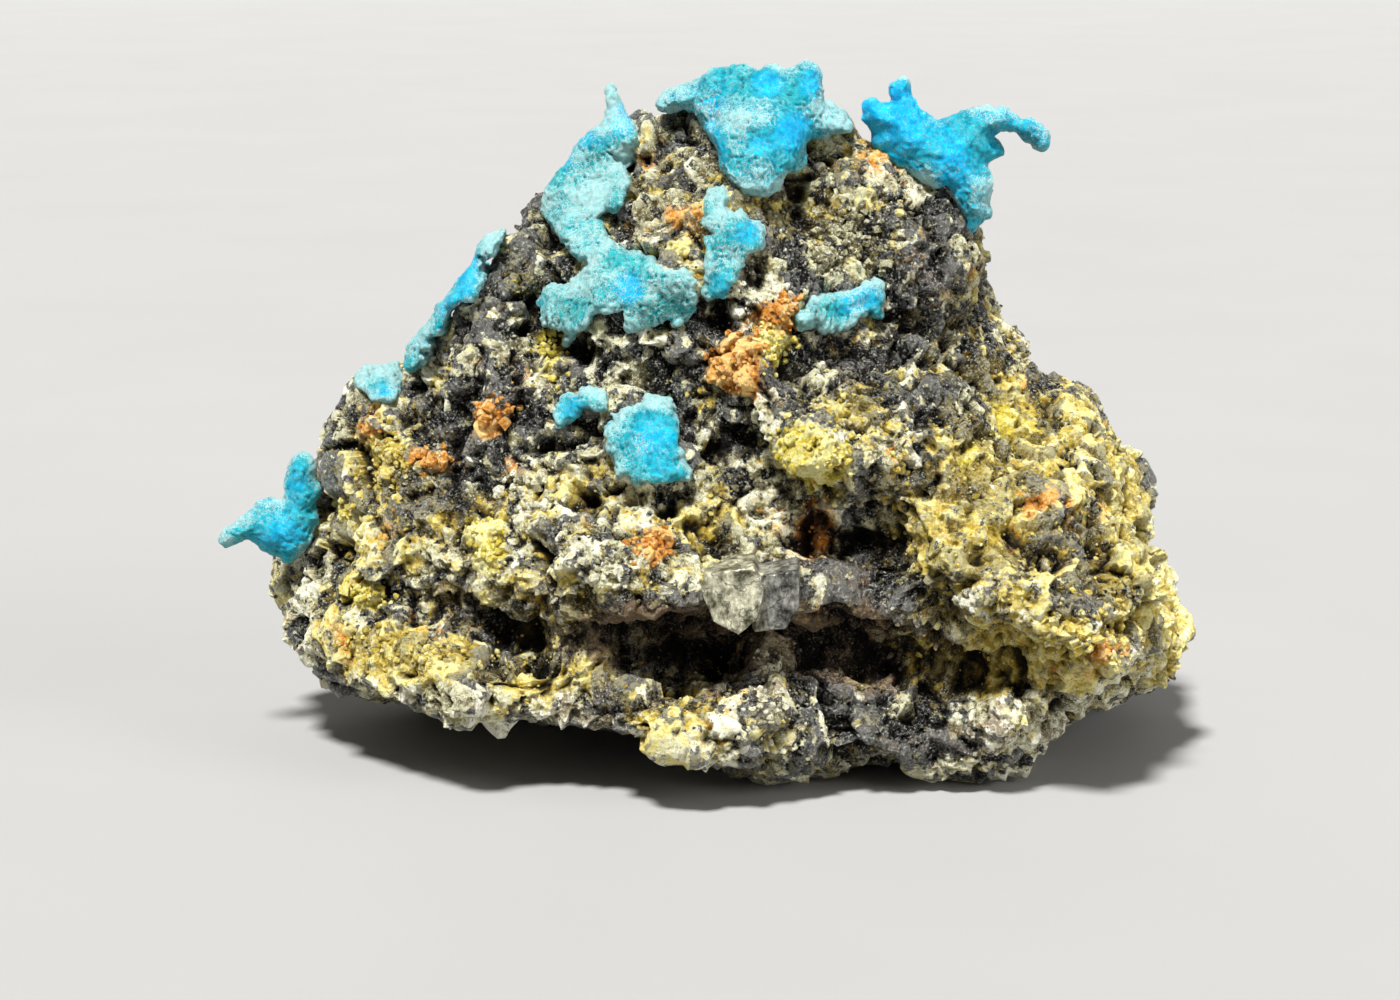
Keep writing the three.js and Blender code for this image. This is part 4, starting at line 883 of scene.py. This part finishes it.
def grown(growth, salt):
    """The points and quads of a growth."""
    outline, stems = growth["outline"], growth.get("stems", [])
    balls = np.array([ball for chain in stems for ball in chain] or [(*outline[0][:1], 0, outline[0][1], 0)])
    xs = [x for x, _ in outline] + [*(balls[:, 0] - balls[:, 3]), *(balls[:, 0] + balls[:, 3])]
    zs = [z for _, z in outline] + [*(balls[:, 2] - balls[:, 3]), *(balls[:, 2] + balls[:, 3])]
    ranges = (min(xs), max(xs)), growth["depth"], (min(zs), max(zs))
    axes = [np.arange(low - 4 * GROWTH_STEP, high + 4 * GROWTH_STEP, GROWTH_STEP) for low, high in ranges]
    x, y, z = axes[0][:, None, None], axes[1][None, :, None], axes[2][None, None, :]
    flat = np.stack([a.ravel() for a in np.broadcast_arrays(x, 0.0, z)], 1)
    reach = inside(outline, *np.broadcast_arrays(x[:, 0], z[0]))[:, None]
    sheet = reach.shape
    ragged = 0.14 * lumps(flat, 1.6, salt) + 0.17 * lumps(flat, 0.7, salt + 1)
    ragged = ragged + 0.20 * lumps(flat, 0.45, salt + 4)
    ragged -= 0.9 * (lumps(flat, 1.2, salt + 5) - 0.35).clip(0)
    reach = reach + (0.4 if "flat" in growth else 1) * ragged.reshape(sheet)
    if "flat" in growth:
        bent = 0.5 * lumps(flat, 3.0, salt + 2).reshape(sheet)
        field = 0.6 * (((y - growth["flat"] - bent) / growth["bulge"]) ** 2 - reach)
    else:
        cx, cy, rx, ry = growth.get("plan", (0, 0, 99, 99))
        reach = np.minimum(reach, (1 - np.hypot((x - cx) / rx, (y - cy) / ry)) * min(rx, ry))
        height = above_ore(axes)
        thick = growth["thick"] * (1 + 0.2 * lumps(flat, 2.0, salt + 3).reshape(sheet))
        up = np.where(height > 0, height / thick, -height / 0.5)
        field = (np.hypot((1 - reach / growth["rim"]).clip(0), up) - 1) * growth["rim"]
    for chain in stems:
        stem = stem_field(x, y, z, chain)
        near = (0.8 - np.abs(field - stem)).clip(0) / 0.8
        field = np.minimum(field, stem) - near * near * 0.2
    return surface_net(field, np.array([axis[0] for axis in axes]), GROWTH_STEP)


blue = Shader("chalcanthite")
frost, heart = blue.read("frost"), blue.read("heart")
threads = blue.calc("MAXIMUM", blue.lines(0.3, 0.05, 4, 0.6), blue.lines(0.6, 0.03, 4, 0.6))
dust = blue.noise(0.2, 6, 0.85)
cloud = blue.noise(0.9, 6, 0.75)
tone = blue.mix(heart, rgb("0caab0"), rgb("00a8e0"))
tone = blue.mix(blue.ramp(cloud, 0.42, 0.6), tone, blue.mix(heart, rgb("40cecc"), rgb("0cc6f4")))
deep_down = blue.ramp(blue.plus(blue.read("hollow"), dust), 0.6, 1.1)
shadow = blue.times(deep_down, blue.ramp(heart, 0.3, 0.9, 0.75, 0.25))
tone = blue.mix(shadow, tone, rgb("02485a"))
white = blue.plus(blue.times(threads, 0.5), blue.plus(dust, cloud))
white = blue.ramp(blue.plus(white, blue.times(frost, 0.75)), 1.3, 1.8, 0, 0.9)
tone = blue.mix(white, tone, rgb("b4e6e4"))
tone = blue.mix(blue.ramp(blue.times(white, threads), 0.4, 0.9, 0, 0.7), tone, rgb("eefcfa"))
blue.feed(blue.surface["Base Color"], tone)
blue.surface["Specular IOR Level"].default_value = 0.06
blue.surface["Subsurface Weight"].default_value = 0.12
blue.surface["Subsurface Radius"].default_value = (0.2, 0.9, 1.2)
blue.surface["Subsurface Scale"].default_value = 0.4 * MM
blue.surface["Transmission Weight"].default_value = 0.1
blue.surface["IOR"].default_value = 1.52
blue.feed(blue.surface["Roughness"], blue.ramp(white, 0, 0.9, 0.3, 0.6))
sugary = blue.bump(threads, 0.12, 0.7)
sugar = blue.times(dust, blue.ramp(heart, 0.3, 0.9, 1, 0.3))
blue.feed(blue.surface["Normal"], blue.bump(sugar, 0.25, 1.0, sugary))

for turn, (node, growth) in enumerate(GROWTHS.items()):
    name = node.split("_")[0] + "_bloom"
    points, quads = grown(growth, 50 * turn + 1000)
    mesh = bpy.data.meshes.new(name)
    mesh.from_pydata((points * MM).tolist(), [], quads.tolist())
    bloom = placed(name, mesh)
    bloom.modifiers.new("halved", "SUBSURF").levels = 1
    mesh = applied(bloom, name)
    even = smoothed(mesh, places(mesh), 2)
    move(mesh, even)
    out = normals(mesh)
    # Knobs, swells and folds of a tenth of a millimetre or two, fainter where the crystal is clean.
    folded = adrift(even, 0.4, 0.9, [780 + turn + 40 * n for n in range(3)])
    knob = grains(folded, 0.5, 705 + 10 * turn)
    height = 0.06 * (0.8 - (np.linalg.norm(knob[1], axis=1) / 0.36) ** 2)
    height += 0.12 * lumps(even, 1.9, 800 + turn) + 0.12 * ridges(folded, 1.0, 820 + turn, 0.4)
    height += 0.12 * ridges(folded, 0.5, 840 + turn, 0.4) + 0.12 * lumps(folded, 0.3, 900 + turn)
    clean = gathered(even, growth["azures"])
    height = height.clip(-0.35, 0.4) * (1 - 0.8 * clean).clip(0.3, 0.7 if "flat" in growth else 1)
    raised = even + out * height[:, None]
    move(mesh, raised)
    hollow = (((smoothed(mesh, raised, 5) - even) * out).sum(1) - height) / 0.08
    rim = np.exp(-((inside(growth["outline"], even[:, 0], even[:, 2]).clip(0) / 0.35) ** 2))
    whiter = growth["frosted"] + gathered(even, growth["frosts"]) - 0.7 * clean + 0.4 * rim
    whiter = whiter + 0.5 * lumps(folded, 1.7, 860 + turn) - 0.3 * hollow.clip(-1, 1)
    bluer = growth["azured"] * 0.6 + clean + 0.15 * lumps(even, 2.6, 840 + turn)
    paint(mesh, "frost", whiter.clip(0, 1))
    paint(mesh, "heart", (bluer + 0.2 * hollow.clip(-1, 1)).clip(0, 1))
    paint(mesh, "hollow", hollow.clip(0, 1))
    mesh.materials.append(blue.material)
    mesh.shade_smooth()
    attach(bloom, "root")
    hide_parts(node)

# ---- The pyrite crystals ----
# Two brassy grey crystals grown into each other and into the brow over the base, with flat bright
# faces, chipped edges and a dark tarnish; the right one is darker.

CRYSTAL_VOXEL = 0.13
crystal = remeshed(nodes["pyrite_crystal"], "pyrite_pair", CRYSTAL_VOXEL)
mesh = crystal.data
faces = places(mesh)
out = normals(mesh)
uneven = 0.05 * lumps(faces, 1.2, 905) + 0.03 * lumps(faces, 0.5, 910)
chips = 0.12 * (lumps(faces, 0.9, 915) - 0.45).clip(0)
move(mesh, faces + out * (uneven - chips)[:, None])
PARTING, BLEND = 2.6, 1.2  # x where the left crystal ends, and over how much the right one begins
paint(mesh, "darker", np.clip((faces[:, 0] - PARTING) / BLEND, 0, 1))
brass = Shader("pyrite")
tarnish = brass.noise(1.1, 5, 0.7)
streaks = brass.ramp(brass.noise(0.6, 5, 0.7, (1.0, 1.0, 0.5)), 0.3, 0.6)
tarnish = brass.times(brass.ramp(tarnish, 0.36, 0.62), streaks)
pale_face = brass.mix(tarnish, rgb("38361f"), rgb("dcd8bc"))
dark_face = brass.mix(tarnish, rgb("0a0a0a"), rgb("b0aea4"))
seams = brass.lines(1.6, 0.02, 3, 0.5, 0.8)
faced = brass.mix(brass.read("darker"), pale_face, dark_face)
brass.feed(brass.surface["Base Color"], brass.mix(seams, faced, rgb("14120c")))
brass.surface["Metallic"].default_value = 0.4
brass.feed(brass.surface["Roughness"], brass.ramp(brass.noise(0.4, 4, 0.6), 0.2, 0.8, 0.25, 0.5))
brass.feed(brass.surface["Normal"], brass.bump(brass.noise(0.3, 4, 0.6), 0.06, 0.5))
mesh.materials.append(brass.material)
mesh.shade_flat()
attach(crystal, "root")
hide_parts("pyrite_crystal")

# ---- Floor, lights and camera ----
# A pale studio table of heavy paper that curves up behind, in metres. The key light comes from the
# upper left and in front, and two weaker ones from the right and from behind.

FRONT, FLAT_TO, CURVE, WALL_TOP, HALF_WIDTH = -1.2, 0.9, 0.6, 2.0, 2.0
profile = [(FRONT, 0.0), (FLAT_TO, 0.0)]
for a in np.linspace(0.15, math.pi / 2, 12):
    profile.append((FLAT_TO + CURVE * math.sin(a), CURVE - CURVE * math.cos(a)))
profile.append((FLAT_TO + CURVE, WALL_TOP))
sweep = bmesh.new()
rows = [[sweep.verts.new((x, y, z)) for x in (-HALF_WIDTH, 0.0, HALF_WIDTH)] for y, z in profile]
for low, high in zip(rows, rows[1:]):
    for n in range(2):
        sweep.faces.new((low[n], low[n + 1], high[n + 1], high[n]))
backdrop = bpy.data.meshes.new("studio_sweep")
sweep.to_mesh(backdrop)
sweep.free()
backdrop.shade_smooth()
floor = placed("studio_sweep", backdrop)
paper = Shader("paper")
paper.feed(paper.surface["Base Color"], paper.mix(paper.noise(40, 2), rgb("92918f"), rgb("979694")))
paper.surface["Roughness"].default_value = 0.8
backdrop.materials.append(paper.material)

scene = bpy.context.scene
scene.view_settings.view_transform = "Standard"
scene.world = bpy.data.worlds.new("studio")
scene.world.use_nodes = True
sky = scene.world.node_tree.nodes["Background"].inputs
sky["Color"].default_value = (1.0, 1.0, 1.0, 1)
sky["Strength"].default_value = 0.2

# Name, direction it comes from, spread in degrees and strength.
for name, place, spread, strength in (
    ("key", (-0.20, -0.52, 1.05), 10, 7.4),
    ("fill", (0.85, -0.45, 0.40), 30, 1.5),
    ("rim", (0.30, 0.80, 0.60), 25, 1.2),
):
    light = placed(name, bpy.data.lights.new(name, "SUN"))
    light.data.angle = math.radians(spread)
    light.data.energy = strength
    light.location = place
    light.rotation_euler = (Vector((0, 0, 0.02)) - light.location).to_track_quat("-Z", "Y").to_euler()

ELEVATION = math.radians(12)
TARGET = Vector((-0.001094, -0.000993, 0.0182))
DISTANCE = 0.247917
camera = placed("camera", bpy.data.cameras.new("camera"))
camera.data.lens = 85
camera.data.sensor_width = 36
camera.location = TARGET + DISTANCE * Vector((0, -math.cos(ELEVATION), math.sin(ELEVATION)))
camera.rotation_euler = (TARGET - camera.location).to_track_quat("-Z", "Y").to_euler()
scene.camera = camera
